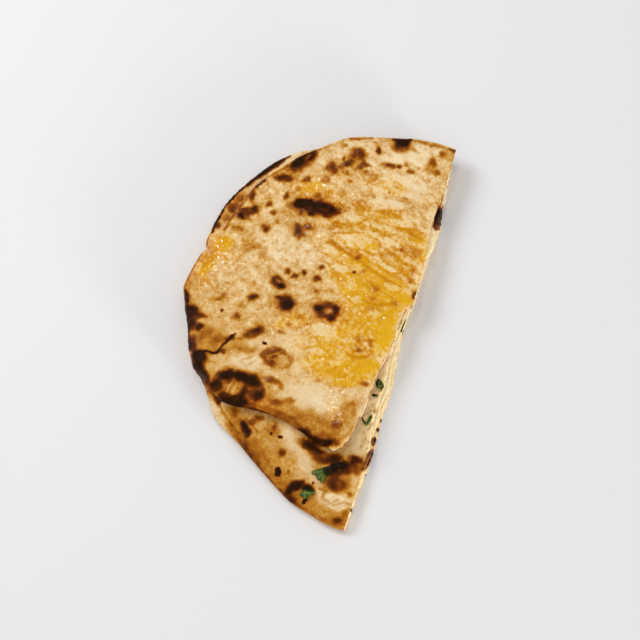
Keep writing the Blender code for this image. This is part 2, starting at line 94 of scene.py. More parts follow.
# The crust's mesh: voxel size, and how far the faces that no one sees are thinned.
CRUST_VOXEL = 0.64 * MM
FACING_WALL = 12 * MM  # a face with another this close in front of it lies inside a pocket or the fold
OPEN_MARGIN = 5.5 * MM  # deeper than this, faces are hidden, and between the two margins shaded
SHADED_MARGIN = 1.8 * MM
HIDDEN_KEPT = 0.035
SHADED_KEPT = 0.22
UNDERSIDE_TOP = 1.2 * MM
UNDERSIDE_KEPT = 0.14
# The cheese's mesh, and how far from the cut, in mm, it is left unthinned.
CHEESE_VOXEL = 0.5 * MM
CHEESE_SEEN = 9
CHEESE_KEPT = 0.05

# Scorched ovals, as the photograph's pixels, a few of the lower ones painted shade: (x, y, half length,
# half width, turn, heat).
# Heat runs from 0, pale dough, over 0.4, golden, and 0.65, brown, to 1, black.
UPPER_SPOTS = (
    # along the far rim, from the left
    (303, 160.5, 15, 6.4, -35, 0.84), (298, 163, 8, 4.2, -35, 1), (309, 155, 7, 4, -40, 1),
    (283.5, 178.8, 11.5, 3.4, 3, 0.8), (306.2, 179, 4.2, 3, -30, 0.72),
    (344.5, 145.3, 3.2, 2.4, 0, 0.56), (358.5, 153, 7.4, 6.4, 30, 0.74), (363, 160, 6, 2.4, 50, 0.62),
    (378.5, 150.3, 2.6, 3.8, 0, 0.74), (401.5, 147, 9.2, 6.6, 0, 0.74), (402, 143.8, 6.2, 3, 0, 1),
    (344, 158.7, 2, 2, 0, 0.64), (348.5, 163.5, 5, 3.8, -20, 0.72), (332, 168.5, 5, 5.2, 0, 0.78),
    (340, 167.5, 4, 2.6, 0, 0.6), (346, 171.5, 3.2, 2.8, 0, 0.58), (360, 168, 3.2, 2.6, 0, 0.6),
    (365.5, 164.6, 6.5, 1.9, 15, 0.62), (391, 166.2, 9, 3, 4, 0.76), (399.5, 166.8, 2.8, 3, 0, 0.8),
    (406.3, 164.4, 2.2, 1.9, 0, 0.42), (410.5, 171.2, 4.2, 2.5, -10, 0.56),
    (419.6, 167, 1.8, 1.5, 0, 0.42), (432, 162.8, 4.2, 4.8, 0, 0.58), (442, 154, 3.2, 3.2, 0, 0.62),
    (450, 151, 7, 2.6, 10, 0.42), (456, 152.2, 3, 3.8, 0, 0.66), (436.8, 172.3, 4.4, 3.2, 0, 0.46),
    (415, 183.4, 3.4, 2.6, 0, 0.36), (395, 186.5, 3.2, 2.8, 0, 0.4), (389.5, 192.5, 1.3, 1.3, 0, 0.7),
    (405.6, 199.2, 3.5, 2.3, 0, 0.5), (373.5, 177.3, 5.5, 3.4, 20, 0.5), (365, 174, 7, 3, 10, 0.4),
    (350, 181.3, 3.2, 2.4, 0, 0.42), (326, 179.3, 4.6, 3.8, 0, 0.44), (342, 193, 3.6, 3, 0, 0.42),
    (316.4, 195.8, 3.2, 2.8, 0, 0.62), (299.5, 189.4, 2, 2.3, 0, 0.6), (286.7, 196.3, 2.8, 4.2, 5, 0.7),
    (269, 204, 3, 2.4, -30, 0.66), (273.8, 212.8, 3.4, 3.2, 0, 0.7), (284, 212, 3, 2.2, 0, 0.36),
    (277, 223, 2, 1.8, 0, 0.36), (265.6, 228.8, 4.4, 3.8, 0, 0.74), (252.4, 196.5, 2.7, 5, 10, 0.84),
    (260.5, 183.2, 5.5, 1.8, -28, 0.82), (256.3, 186.5, 2, 2.4, 0, 0.7), (247.3, 212, 11, 4.7, -14, 0.8),
    (241, 215.5, 4.2, 2.6, -10, 0.92), (254.5, 209, 3.4, 3.6, 0, 0.86), (238.5, 228.8, 6, 2.8, 8, 0.48),
    (249, 246.2, 9.5, 4.8, -8, 0.36), (264, 252.6, 4, 4.4, 0, 0.38),
    # the black bar and what lies below it
    (316, 207.5, 22, 8.4, 7, 0.86), (305.5, 205, 9.5, 5.6, 6, 1), (323.5, 208.6, 13.5, 5.8, 8, 1),
    (337, 210, 5, 3.8, 0, 0.72), (297, 203, 2, 4.8, 0, 0.9), (301, 209.5, 1.6, 4, 10, 0.8),
    (301, 199.5, 3, 2, 0, 0.85), (311, 213.5, 4, 2.6, 10, 0.9), (326, 216, 4.4, 2.8, 4, 0.9),
    (298, 230.5, 4.2, 8, -6, 0.78), (308.2, 226.6, 6.4, 4, -8, 0.64), (300, 229, 10, 9, 0, 0.36),
    (332, 227.5, 3.6, 3.2, 0, 0.46), (304, 236, 6, 3.2, 0, 0.4),
    # the middle of the flap
    (287.6, 270.8, 3.2, 3, 0, 0.74), (296, 276, 4.6, 2.3, 8, 0.68), (303.5, 272.6, 2.2, 2.6, 0, 0.72),
    (322.2, 268, 3, 2.6, -20, 0.7), (316.8, 278.8, 4, 2.8, 0, 0.74), (315.2, 291, 2.4, 1.8, 0, 0.55),
    (278.8, 281.8, 7.4, 5, 25, 0.92), (283, 285.5, 3.4, 2.6, 20, 0.95),
    (285.7, 302.8, 8.2, 7.8, 30, 0.9), (288.6, 305.5, 4.6, 4.4, 0, 1), (279, 297.5, 3.6, 3, 30, 0.82),
    (327.4, 311, 12.4, 8.4, 14, 0.9), (318.5, 307.5, 5.4, 3, 20, 0.96), (331, 318.4, 5.4, 4.4, 20, 0.94),
    (335.5, 309.5, 3.6, 4.4, 0, 0.92), (357.9, 257.3, 2.9, 2, -10, 0.62),
    (354, 272.3, 1.4, 1.2, 0, 0.85), (362.8, 270.3, 2.6, 2.2, 0, 0.45),
    (401.4, 249.8, 2.2, 2.8, 0, 0.52), (415.3, 252, 3.6, 3.8, 0, 0.44),
    (411.2, 270.5, 2.4, 4.6, 15, 0.46), (408.8, 280.5, 2.6, 4.2, 15, 0.46),
    (413.6, 295.5, 3.2, 5.2, -20, 0.92), (376.4, 289, 3.6, 3.8, 0, 0.48),
    (371.6, 298.6, 5, 2.4, 15, 0.44), (394.4, 303.5, 3.2, 3, 0, 0.42), (371, 310, 3.2, 2, 0, 0.36),
    # the left of the flap
    (253.4, 297.3, 5.2, 3.4, -18, 0.76), (218.6, 298.4, 6.8, 3, -12, 0.46), (223, 294.6, 3, 2, 0, 0.42),
    (242, 303.9, 3.6, 3.2, 0, 0.38), (237, 316.3, 4.2, 4, 0, 0.62), (221.8, 309.8, 1.3, 1.2, 0, 1),
    (243, 281, 3.6, 1.8, 0, 0.3), (255, 283.2, 2, 1.6, 0, 0.34), (268, 266.2, 3, 2.2, 0, 0.34),
    (187.6, 297, 3.6, 6, 0, 0.72), (191.5, 312, 7, 6.6, 0, 1), (199, 315.5, 6.4, 3.6, 0, 0.8),
    (190.5, 323, 5.8, 7.4, 0, 0.95), (198.5, 326.5, 4.6, 3.2, 0, 0.84),
    (252.6, 333.4, 12.4, 4.4, -22, 0.72), (258, 330.2, 6, 2.8, -20, 0.82),
    (281.8, 333.4, 4.6, 2, 18, 0.54), (289.5, 324, 2.6, 2.4, 0, 0.46), (299.5, 316, 3.4, 2.6, 0, 0.38),
    (219.5, 338.6, 7.6, 4.2, 0, 0.52), (230.4, 338, 5, 2.4, -12, 0.86),
    (223.2, 350.3, 3.6, 2.8, -20, 0.74), (245.5, 350, 9.6, 3.2, 5, 0.5), (207, 341, 18, 13, 0, 0.42),
    (235, 345, 11, 8, 0, 0.38), (208, 258, 12, 8, -56, 0.28), (190, 281, 8, 11, 0, 0.28),
    (199.2, 355.6, 7.6, 6.5, 20, 1), (197.6, 367, 6.6, 10, -14, 1), (204, 378, 5.4, 8.5, -28, 1),
    (193, 345, 4, 8, 0, 0.84), (273, 357, 10, 6.5, 20, 0.42), (275, 356.5, 4.6, 2.2, -20, 0.6),
    (318, 379.7, 2.6, 2.4, 0, 0.42), (229.5, 386.5, 13, 9, 0, 0.72), (226, 374.5, 9, 5, -14, 1),
    (240, 376.5, 7.5, 5, 10, 1), (251.5, 380.5, 10.5, 7, 20, 1), (216, 386, 6.4, 8.4, 20, 1),
    (223, 397, 7.4, 5.4, 24, 1), (234.5, 399.5, 13, 6, 10, 1), (243.5, 392, 4, 6, 30, 0.86),
    (252, 393, 7, 6, 20, 0.6), (258.8, 395.6, 4.6, 5.8, 40, 0.74), (262.8, 390, 4, 3, -30, 0.64),
    (276, 402.4, 8.4, 3, 4, 0.56), (290, 400.2, 5, 3, 0, 0.52), (271, 380.5, 8, 3.4, 14, 0.62),
    (280.5, 385, 3, 5, -20, 0.52),
    # towards the lower tip
    (363.4, 383.2, 4.6, 2.4, 12, 0.66), (369.4, 344, 2.4, 4.8, -10, 0.62),
    (359.4, 351.2, 3.4, 2.6, 10, 0.54), (358.8, 338.8, 4.4, 3.2, 0, 0.4),
    (342, 419.5, 10.6, 7.4, 20, 0.42), (347, 407.2, 7, 5.4, -25, 0.48), (337.5, 425, 5, 4.4, 0, 0.54),
    (353, 412, 3.4, 5, 0, 0.42), (304, 434, 6.6, 6.4, 40, 1), (314, 441, 10, 5.4, 18, 1),
    (327.5, 442, 8.4, 4.4, 8, 0.94), (309, 449, 7, 5, 30, 1), (322, 436, 12, 5, 12, 0.44),
    (337, 444, 3.4, 3.6, 0, 0.62),
)
LOWER_SPOTS_AND_SHADE = (
    # the strip beside the fold
    (233, 207.5, 5, 4.2, -40, 0.66), (226.8, 217, 4.6, 4, -40, 0.52), (240, 198, 7, 4, -45, 0.56),
    (217.6, 225.4, 3.2, 3.2, 0, 0.8), (252.5, 191.5, 4, 2.4, -30, 0.4), (226, 196, 30, 6, -52, 0.5),
    # (272, 429) is painted shade under the upper flap's near rim; (411, 303) a darker tan as painted
    # shade on the lower cut's face
    (285, 472, 66, 30, 47, 0.27), (272, 429, 10, 9, 0, 0.36), (411, 303, 4, 8, 20, 0.58),
    # the end that the upper flap leaves free
    (243.6, 427, 4, 5.6, -24, 0.92), (247.4, 433, 3, 4.8, 14, 0.86), (253, 422, 7, 2.6, -10, 0.62),
    (260, 418.6, 6, 2.8, 4, 0.66), (233.5, 412, 7, 5, 30, 0.46), (274.4, 427.4, 2.6, 5, 12, 0.58),
    (270.9, 434, 1.5, 1.4, 0, 0.7), (280.4, 437.2, 2.5, 1.8, 0, 1), (282.6, 453, 3.9, 4.3, 0, 0.68),
    (289, 471.2, 2.2, 3, 0, 0.44), (248, 446, 4.4, 3.4, 50, 0.42), (297.4, 485.2, 7.6, 4.6, -12, 0.98),
    (289.2, 490.6, 4, 6.6, 24, 0.92), (308, 488.6, 6.4, 4.4, 26, 1), (291, 498, 5, 4, 40, 0.62),
    # (312, 447) and (320, 458) are partly char and partly painted shadow of the upper flap's tip
    (312, 447, 13, 5.5, 28, 0.96), (320, 458, 10, 5, 24, 0.7), (334, 459, 9, 5.4, 8, 0.86),
    (333.5, 466.5, 4, 4.5, 0, 1), (328, 471, 3, 4, 0, 0.7), (355.4, 459.6, 8, 4.6, 12, 0.88),
    (347, 464.6, 9, 4, 4, 0.8), (337.5, 481, 12.6, 11.6, 0, 0.78), (334.6, 486.6, 5.6, 6.4, 0, 0.8),
    (345, 472, 8, 5.4, 0, 0.84), (356, 469.6, 6.4, 6, 0, 0.66), (340, 471, 9, 6, 0, 0.6),
    (349.8, 495.6, 3.4, 2.8, 0, 0.56), (339.4, 520.2, 8, 5.6, 10, 0.4), (337.5, 521, 4.4, 3.6, 0, 0.62),
    (345, 513, 4, 5, 0, 0.46), (351.6, 511, 1.7, 2, 0, 1), (313, 482.6, 1.3, 1.2, 0, 0.6),
    # the bottom crust that shows beyond the cut
    (371.8, 457, 5.6, 9, 14, 0.86), (374, 442, 3, 4, 0, 0.92), (364.5, 466.5, 4, 6, 20, 0.66),
    (375.5, 411, 3, 4.6, 0, 0.62), (371, 423, 2.4, 3, 0, 0.58), (381.4, 421, 1.8, 2.2, 0, 0.92),
    (378.2, 429.4, 1.7, 2, 0, 0.92), (374.6, 439, 1.9, 3, 0, 0.86), (366.4, 476, 1.6, 2.4, 0, 0.86),
    (438.4, 216, 6.5, 10.5, 12, 1), (435.5, 226.5, 4, 4, 0, 0.72),
)
# The deep crack across the upper flap beside the fold.
CRACK = ((236, 334), (229, 339.5), (222, 345), (217, 352), (212, 353), (206, 351), (199, 353))
# Scorched bands along a line of pixels, some of the upper ones painted shade: (points, half width, heat).
UPPER_BANDS_AND_SHADE = (
    (CRACK, 1.1, 0.86),
    (((283, 368), (289, 366), (291.5, 358)), 1.8, 0.36),
    (((283, 351.5), (276, 349), (268, 351), (263.5, 356), (266, 362), (272, 364)), 3.4, 0.64),
    (((283, 351.5), (288, 356), (289, 361)), 1.6, 0.4),
    (((350, 138.6), (362, 138), (372, 138.6)), 1.4, 0.56),
    (((393, 140), (411, 141)), 1.6, 0.84),
    (((314, 151), (330, 146), (345, 140)), 1.3, 0.34),
    (((411, 141), (438, 146), (457, 151)), 1.5, 0.4),
    (((228, 402), (250, 406), (275, 412), (299, 427)), 5, 0.54),
    (((245, 398), (270, 403), (296, 415), (330, 428)), 11, 0.42),
    (((224, 229.5), (240, 206), (258, 184), (288, 165)), 1.7, 0.5),
    (((186, 290), (187.5, 308), (187.5, 330), (189, 350)), 2.4, 0.74),
    # painted shade: these darken the fold's left rim where its side lies in shade
    (((184, 288), (190, 271)), 2, 0.36),
    (((218, 219), (211, 233)), 1.2, 0.7),
    (((211, 233), (205.5, 247), (198, 259), (190, 274)), 1.1, 0.48),
    (((331, 241), (352, 254)), 1.8, 0.3),
    (((340, 440), (350, 432), (358, 420)), 2.4, 0.34),
    # painted shade: a darker line along the upper flap's cut edge
    (((384, 360), (381, 370), (370, 396), (361, 420), (349, 444)), 1.5, 0.62),
    # the upper flap's near rim and tip: browned and charred, and darkened further as painted shade on the
    # rim's shaded side face
    (((204, 390), (214, 398), (228, 405), (242, 409), (256, 412), (271, 417), (286, 426), (300, 438)),
     3.6, 0.86),
    (((300, 438), (310, 447), (322, 452.5)), 3, 0.95),
)
LOWER_BANDS = (
    (((290, 156), (281, 161)), 1.6, 1), (((281, 161), (270, 168.5), (260, 175.5)), 3.3, 1),
    (((260, 175.5), (247, 185)), 2.2, 1),
    (((247, 185), (235, 194), (226, 205.5), (216, 222), (211, 235)), 1.2, 0.96),
    (((211, 235), (206, 247)), 1, 0.55),
    (((230, 412), (238, 430), (253, 452), (270, 475), (290, 494), (313, 510), (340, 524)), 11, 0.33),
    (((226, 424), (246, 449), (262, 470), (276, 487), (294, 502)), 2.2, 0.5),
    (((294, 502), (318, 517), (342, 529)), 2, 0.42),
    (((240, 436), (248, 452), (262, 470)), 5, 0.44),
)
# Places inside the scorch that stayed paler, and one painted highlight: (x, y, half length, half width,
# turn, share taken off).
COOLER_AND_HIGHLIGHT_SPOTS = (
    (232, 388, 9.5, 4.8, -8, 0.5), (213, 412, 6, 22, -24, 0.95), (281, 354.5, 3.6, 3.2, -20, 0.3),
    (329, 312, 3.2, 2.6, 20, 0.55), (279.6, 281, 2.4, 1.6, 20, 0.45), (249, 211.2, 4, 1.3, -20, 0.15),
    (308, 156.5, 3.4, 1.5, -40, 0.35), (343, 477.5, 3.6, 3, 0, 0.3), (309, 208.5, 5, 1.2, 15, 0.14),
    # (329, 449.5) is partly the pale curled lip of the upper flap's tip and partly a painted highlight
    # along it
    (325, 210, 5, 1.2, 10, 0.16), (338.5, 484, 3, 4.5, 20, 0.2), (329, 449.5, 10, 1.2, 14, 0.5),
)
# Brushed butter that soaked in and shines: (x, y, half length, half width, turn, strength).
BUTTERED = (
    (222, 243.5, 8, 6, -30, 1.5), (208, 264, 12, 5, -58, 1.5), (218, 255, 12, 6, -50, 0.7),
    (204, 281, 9, 5, -60, 0.45), (232, 258, 12, 8, 0, 0.35), (313, 187.5, 14, 7, -10, 0.85),
    (331, 196, 16, 9, 20, 0.56), (299, 188, 8, 6, 0, 0.55), (352, 200, 18, 8, 10, 0.2),
    (350, 221, 26, 8, -4, 0.56), (378, 214, 24, 8, 12, 0.6), (374, 229, 24, 8, 14, 0.56),
    (402, 232, 24, 11, 28, 0.6), (420, 246, 14, 10, 65, 0.7), (371, 247.5, 6, 3.6, 10, 1.1),
    (345, 259, 30, 7, 30, 0.68), (325, 240, 18, 5, 20, 0.45), (374, 272, 32, 10, 34, 0.85),
    (350, 283, 22, 12, 40, 0.9), (385, 290, 27, 14, 30, 0.95), (360, 298, 20, 9, 14, 0.9),
    (402, 266, 18, 11, 55, 0.6), (398, 303, 14, 10, 0, 0.9), (386, 321, 13, 10, -52, 1.5),
    (383, 338, 15, 8, -62, 1.35), (366, 367, 13, 7, -10, 1.3), (350, 381, 16, 5, -8, 1.1),
    (333, 374, 15, 8, 20, 0.95), (325, 352, 17, 11, 30, 0.85), (346, 350, 16, 11, 0, 0.62),
    (362, 326, 20, 12, 0, 0.65), (342, 332, 16, 9, 0, 0.45), (311, 364, 13, 8, 30, 0.45),
    (297, 320, 13, 8, 0, 0.6), (282, 324.5, 8, 5, 0, 0.75), (305, 345, 14, 7, 20, 0.28),
    (350, 366, 26, 14, 10, 0.95), (328, 366, 20, 12, 20, 0.75), (362, 318, 34, 30, 20, 0.74),
    (330, 345, 30, 24, 20, 0.5), (372, 262, 40, 26, 34, 0.52), (385, 225, 42, 18, 20, 0.36),
    (432, 205, 10, 16, 20, 0.22), (345, 176, 14, 6, 20, 0.35), (386, 186, 17, 8, 14, 0.55),
    (390, 350, 8, 14, 20, 0.5), (340, 410, 15, 17, 20, 0.3), (262, 404, 22, 6, 10, 0.35),
)
# Dry, floury places that stayed nearly white, and beside the lower flap's cut paler places as painted
# light, in the same terms.
FLOURY_AND_LIT = (
    (357, 240, 15, 6.5, 14, 0.8), (300, 252, 26, 14, 10, 0.3), (262, 270, 24, 14, 0, 0.12),
    (400, 157, 17, 7, 0, 0.75), (421, 158, 9, 9, 0, 0.8), (376, 160, 8, 6, 0, 0.6),
    (408, 190, 16, 9, 0, 0.62), (390, 204, 14, 6, 0, 0.25), (249, 364, 14, 8, 0, 0.65),
    (262, 342, 12, 5, 0, 0.4), (313, 398, 26, 12, 12, 0.6), (292, 345, 16, 10, 0, 0.4),
    (292, 440, 6, 13, -30, 0.72), (304, 463, 6.5, 17, -20, 0.72), (316, 486, 5, 12, -25, 0.6),
    (331, 498, 14, 8, 20, 0.75), (350, 481, 5, 7, 0, 0.7), (331, 336, 12, 6, 0, 0.4),
    (276, 240, 16, 9, 0, 0.3), (277, 169.5, 24, 2.4, -37, 0.9), (213, 412, 6, 20, -24, 0.35),
    (221, 403, 3, 12, -24, 0.3), (320, 158, 12, 6, -20, 0.45), (343, 148, 14, 6, -16, 0.6),
    (384, 147, 8, 4, 0, 0.5), (425, 150, 14, 5, 10, 0.6), (300, 364, 10, 8, 0, 0.4),
    # from (366, 430) on, painted light: the lower flap's top beside its cut is made paler where the upper
    # flap shades it
    (280, 206, 10, 8, 0, 0.35), (425, 192, 8, 14, 14, 0.4), (366, 430, 10, 22, 20, 1),
    (377, 402, 10, 24, 16, 0.85), (388, 365, 10, 26, 14, 0.65), (404, 315, 8, 30, 16, 0.45),
    (422, 262, 7, 30, 14, 0.7),
)
# The torn inner face beside the lower flap's cut, given the crumb's pale colour partly as painted light,
# as bands along a line of pixels.
CRUMBLY_AND_LIT = (
    (((403, 320), (393, 345), (386, 372), (378, 400), (371, 425), (366, 446)), 8, 1),
)
# Where melted cheese bulges past the cut, as ovals of pixels with how far, in mm.
OOZED = ((430.5, 240, 14, 6, -74, 1.3),)
# Where the upper flap's cut stands out and where it is torn in, in the same terms.
PROUD = ((418, 269, 32, 9, -72, 1.5),)
TORN = ((405, 319, 10, 6, -60, 1.9),)
# Black seeds baked into the crust: (x, y, half length, half width, turn).
SEEDS = (
    (278, 472, 5, 3.6, 100), (304.8, 501, 3.9, 2.5, 105), (280.5, 437.2, 2.4, 1.7, 15),
    (270.9, 434, 1.5, 1.2, 0), (265, 344, 2, 1.4, 20), (221.8, 309.8, 1.7, 1.3, 0),
    (354, 272.3, 1.4, 1.1, 0), (313, 482.6, 1.2, 1, 0),
)
# Veins of the leaves, as lines of pixels, and where the leaves are burnt, as ovals of pixels.
VEINS = (
    ((336, 466), (326, 470), (319, 472), (312, 472.5)), ((326, 470), (321, 475), (317, 479)),
    ((326, 471), (323.5, 477), (321.5, 482.5)), ((327, 470), (334, 466), (341, 464), (348, 466)),
    ((305.5, 489), (304, 493), (299, 494.5)), ((304, 493), (305.5, 499)),
    ((304.5, 492), (309, 493.5), (314, 492)),
    ((374.5, 379), (377.5, 385), (380.5, 390)), ((377, 384), (374, 387)), ((378.5, 386.5), (382, 385.5)),
    ((370, 397), (376, 396)), ((365, 424), (367, 419), (369.3, 414)),
    ((403, 334), (404, 324), (406, 316)),
)
BURNT_LEAVES = (
    (343, 465, 15, 7, -10, 1), (329.5, 469, 5.6, 9, 0, 1), (306.5, 486, 9, 4.6, 15, 1),
    (374.5, 382, 3.6, 6, -10, 0.9), (372, 395, 3.6, 3, 0, 0.9), (361.5, 421, 3, 6, -30, 0.7),
    (401, 319, 4, 7, 0, 0.9),
)
# Dry plates of crust that stand out among the butter: (x, y, half length, half width, turn).
PLATES = (
    (355.5, 240.5, 17, 5.8, 11), (348.5, 217, 15.5, 4.8, -8), (388.5, 204, 15, 5.5, 8),
    (328.5, 250, 10, 4.2, 10), (377, 261.5, 18, 3, 33), (394, 241.5, 9, 4.6, 12),
    (403.5, 257, 8.5, 4.4, 35), (391.5, 286, 8.5, 3.6, 26), (357, 300, 6.5, 3.8, 20),
    (329, 297, 9, 5, 10), (374, 313, 7, 3.4, 20), (324, 331, 14, 6, 10), (406, 224, 8.5, 3.8, 20),
    (340, 268, 9, 4, 20), (352, 286, 7, 3.4, 30), (413, 275, 6, 3.4, 60), (371, 233.5, 8, 3.4, 24),
    (372, 346, 9, 4, 8), (340, 362, 10, 4.6, -8), (318, 352, 9, 4, 20),
)
# Creases and cracks: (points, half width in pixels, depth in mm; a negative depth is a ridge).
CREASES = (
    (((329, 243), (343, 251), (357, 259), (381, 275), (400, 287)), 1.5, 0.24),
    (((334, 222), (350, 225.5), (363, 222), (374, 216), (388, 219)), 1.5, 0.2),
    (((397, 227), (409, 232), (420, 239)), 1.6, 0.2), (((381, 247), (393, 254), (406, 263)), 1.4, 0.18),
    (((335, 234), (350, 231), (366, 233), (378, 240)), 1.3, 0.18),
    (CRACK, 1.3, 0.4),
    (((346, 266), (362, 276), (378, 288), (392, 298)), 1.4, 0.14),
    (((360, 206), (380, 212), (400, 216)), 1.5, 0.16),
    (((268, 354), (275, 351), (280, 349)), 1, 0.3), (((269, 358), (277, 354), (282, 352)), 1, 0.3),
    (((226, 393), (229, 386), (233, 381)), 1.1, -0.4),
    (((232, 394), (235, 387), (238, 383)), 1.1, -0.35),
    (((254, 360), (246, 366), (240, 361), (252, 356)), 1.3, 0.2),
    (((320, 488), (326, 492), (322, 498), (330, 503), (338, 500)), 1.4, 0.6),
    (((327, 497), (333, 494), (340, 498)), 1.2, -0.35), (((334, 505), (343, 502), (350, 504)), 1.3, 0.5),
    (((329, 506), (337, 510), (346, 507)), 1.2, -0.3), (((246, 418), (252, 425), (259, 432)), 1.2, 0.25),
    (((218, 402), (223, 413), (230, 424), (238, 433)), 1.6, 0.5),
    (((330, 447), (334, 449.5), (339, 446)), 1.2, -0.45),
    (((384, 382), (376, 408), (368, 434), (361, 462)), 1, 0.15),
    (((268, 176), (262, 181), (256, 186)), 1.2, 0.4), (((299, 300), (316, 296), (330, 300)), 2.4, -0.15),
    (((360, 300), (378, 305), (394, 302)), 2, 0.2), (((345, 352), (356, 358), (366, 357)), 2, 0.18),
)


# ---------------- small tools

def smoothstep(low, high, value):
    """0 at low, 1 at high and a soft turn at both; low may be the larger."""
    step = np.clip((value - low) / (high - low), 0, 1)
    return step * step * (3 - 2 * step)


def value_noise(points, size, seed):
    """Smooth seeded noise from -1 to 1; size is the distance between its bumps."""
    table = np.random.default_rng(seed).uniform(-1, 1, NOISE_TABLE)
    cell = points / size
    base = np.floor(cell).astype(np.int64)
    share = cell - base
    share = share * share * (3 - 2 * share)
    total = np.zeros(len(points))
    for corner in itertools.product((0, 1), repeat=3):
        key = np.zeros(len(points), np.int64)
        weight = np.ones(len(points))
        for axis in range(3):
            key ^= (base[:, axis] + corner[axis]) * NOISE_PRIMES[axis]
            weight *= share[:, axis] if corner[axis] else 1 - share[:, axis]
        total += weight * table[key % NOISE_TABLE]
    return total


def noise_pair(points, size, seeds):
    """Two such patterns side by side, as a shift along two axes."""
    return np.stack([value_noise(points, size, seed) for seed in seeds], axis=1)


def photo_pixels(points):
    """Where each point, in metres, falls in the photograph, in pixels from the top left."""
    up = np.array((0, math.sin(CAMERA_ANGLE), math.cos(CAMERA_ANGLE)))
    offset = points - np.array(AIM)
    scale = CAMERA_DISTANCE * PICTURE / VIEW_WIDTH / (CAMERA_DISTANCE - offset @ TOWARDS_CAMERA)
    return np.stack((PICTURE / 2 + offset[:, 0] * scale, PICTURE / 2 - (offset @ up) * scale), axis=1)


def spot_profile(reach):
    """Full strength in a spot's middle, half at its rim, and a faint fringe beyond."""
    return np.maximum(smoothstep(1.75, 0.35, reach), 0.30 * smoothstep(2.5, 0.8, reach))


def oval_reach(pixels, x, y, half_length, half_width, turn):
    """Distance of each pixel place from an oval's centre, 1 at its rim."""
    angle = math.radians(turn)
    across, down = pixels[:, 0] - x, pixels[:, 1] - y
    along = across * math.cos(angle) + down * math.sin(angle)
    aside = down * math.cos(angle) - across * math.sin(angle)
    return np.hypot(along / half_length, aside / half_width)


def oval_cover(pixels, ovals, ragged=0.0):
    """Soft ovals at each pixel place, run together where they meet; ragged moves their rims."""
    total = np.zeros(len(pixels))
    for *oval, strength in ovals:
        reach = oval_reach(pixels, *oval) * 0.9 + ragged / max(oval[3], 3)
        total += (strength * spot_profile(reach)) ** JOINING
    return total ** (1 / JOINING)


def cut_shift(pixels, upper):
    """How far the points of the upper flap move across the cut, in metres along each axis."""
    shift = upper * (oval_cover(pixels, PROUD) - oval_cover(pixels, TORN))
    return CUT_DIRECTION * shift[:, None] * MM


def seed_domes(pixels):
    """Height of the baked-in seeds at each pixel place, 1 on their middles."""
    total = np.zeros(len(pixels))
    for seed in SEEDS:
        total = np.maximum(total, 1 - oval_reach(pixels, *seed) ** 2)
    return np.sqrt(np.maximum(total, 0))


def line_distance(places, line):
    """Distance from each flat place to a line of points, in the same unit."""
    nearest = np.full(len(places), np.inf)
    for start, end in zip(line, line[1:]):
        start, end = np.array(start, float), np.array(end, float)
        run = end - start
        share = np.clip(((places - start) @ run) / (run @ run), 0, 1)
        gap = places - start - share[:, None] * run
        nearest = np.minimum(nearest, np.hypot(gap[:, 0], gap[:, 1]))
    return nearest


def band_cover(pixels, bands, ragged):
    """Soft bands along lines at each pixel place, in the way of the ovals."""
    total = np.zeros(len(pixels))
    for line, half_width, strength in bands:
        reach = line_distance(pixels, line) / half_width + ragged / max(half_width, 3)
        total += (strength * spot_profile(reach)) ** JOINING
    return total ** (1 / JOINING)


def only(piece):
    """Select one object alone and make it the active one."""
    bpy.ops.object.select_all(action="DESELECT")
    piece.select_set(True)
    bpy.context.view_layer.objects.active = piece


def apply_modifier(piece, kind, **settings):
    """Add a modifier with its settings and make it permanent."""
    only(piece)
    modifier = piece.modifiers.new(kind.lower(), kind)
    for key, value in settings.items():
        setattr(modifier, key, value)
    bpy.ops.object.modifier_apply(modifier=modifier.name)


def copy_node(node, name):
    """A welded copy of a CAD node's mesh, as the start of a visible piece."""
    piece = bpy.data.objects.new(name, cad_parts[node].data.copy())
    piece.data.name = name
    piece.data.materials.clear()
    scene.collection.objects.link(piece)
    only(piece)
    bpy.ops.object.mode_set(mode="EDIT")
    bpy.ops.mesh.select_all(action="SELECT")
    bpy.ops.mesh.remove_doubles(threshold=1e-6)
    bpy.ops.object.mode_set(mode="OBJECT")
    return piece


def read(items, key, width=3):
    """One value or vector for every vertex or face of a mesh, as an array."""
    values = np.empty(len(items) * width)
    items.foreach_get(key, values)
    return values.reshape(-1, width) if width > 1 else values


def move_points(piece, points):
    """Put every vertex at its new place, never outside the CAD box."""
    low, high = (np.array(corner) for corner in cad_box)
    piece.data.vertices.foreach_set("co", np.clip(points, low, high).ravel())
    piece.data.update()


def thin_faces(piece, chosen, kept):
    """Thin the chosen faces to the given share, and leave the others as they are."""
    only(piece)
    scene.tool_settings.mesh_select_mode = (False, False, True)
    mesh = piece.data
    mesh.vertices.foreach_set("select", np.zeros(len(mesh.vertices), bool))
    mesh.edges.foreach_set("select", np.zeros(len(mesh.edges), bool))
    mesh.polygons.foreach_set("select", chosen)
    bpy.ops.object.mode_set(mode="EDIT")
    bpy.ops.mesh.decimate(ratio=kept)
    bpy.ops.object.mode_set(mode="OBJECT")


def keep_value(piece, name, values, domain="POINT"):
    """Store one number per vertex or face under a name, which a material can read."""
    attribute = piece.data.attributes.new(name, "FLOAT", domain)
    attribute.data.foreach_set("value", values.astype(np.float32))


def finish_piece(piece, node, material):
    """Give a piece its finish, and let it ride on the body and stand for its CAD node."""
    piece.data.materials.append(material)
    only(piece)
    bpy.ops.object.shade_smooth()
    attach(piece, "root")
    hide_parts(node)


# ---------------- materials

def seen(red, green, blue):
    """A colour as the eye reads it, 0 to 255, turned into the shader's linear values."""
    linear = [((part / 255 + 0.055) / 1.055) ** 2.4 if part > 10 else part / 255 / 12.92
              for part in (red, green, blue)]
    return (*linear, 1)


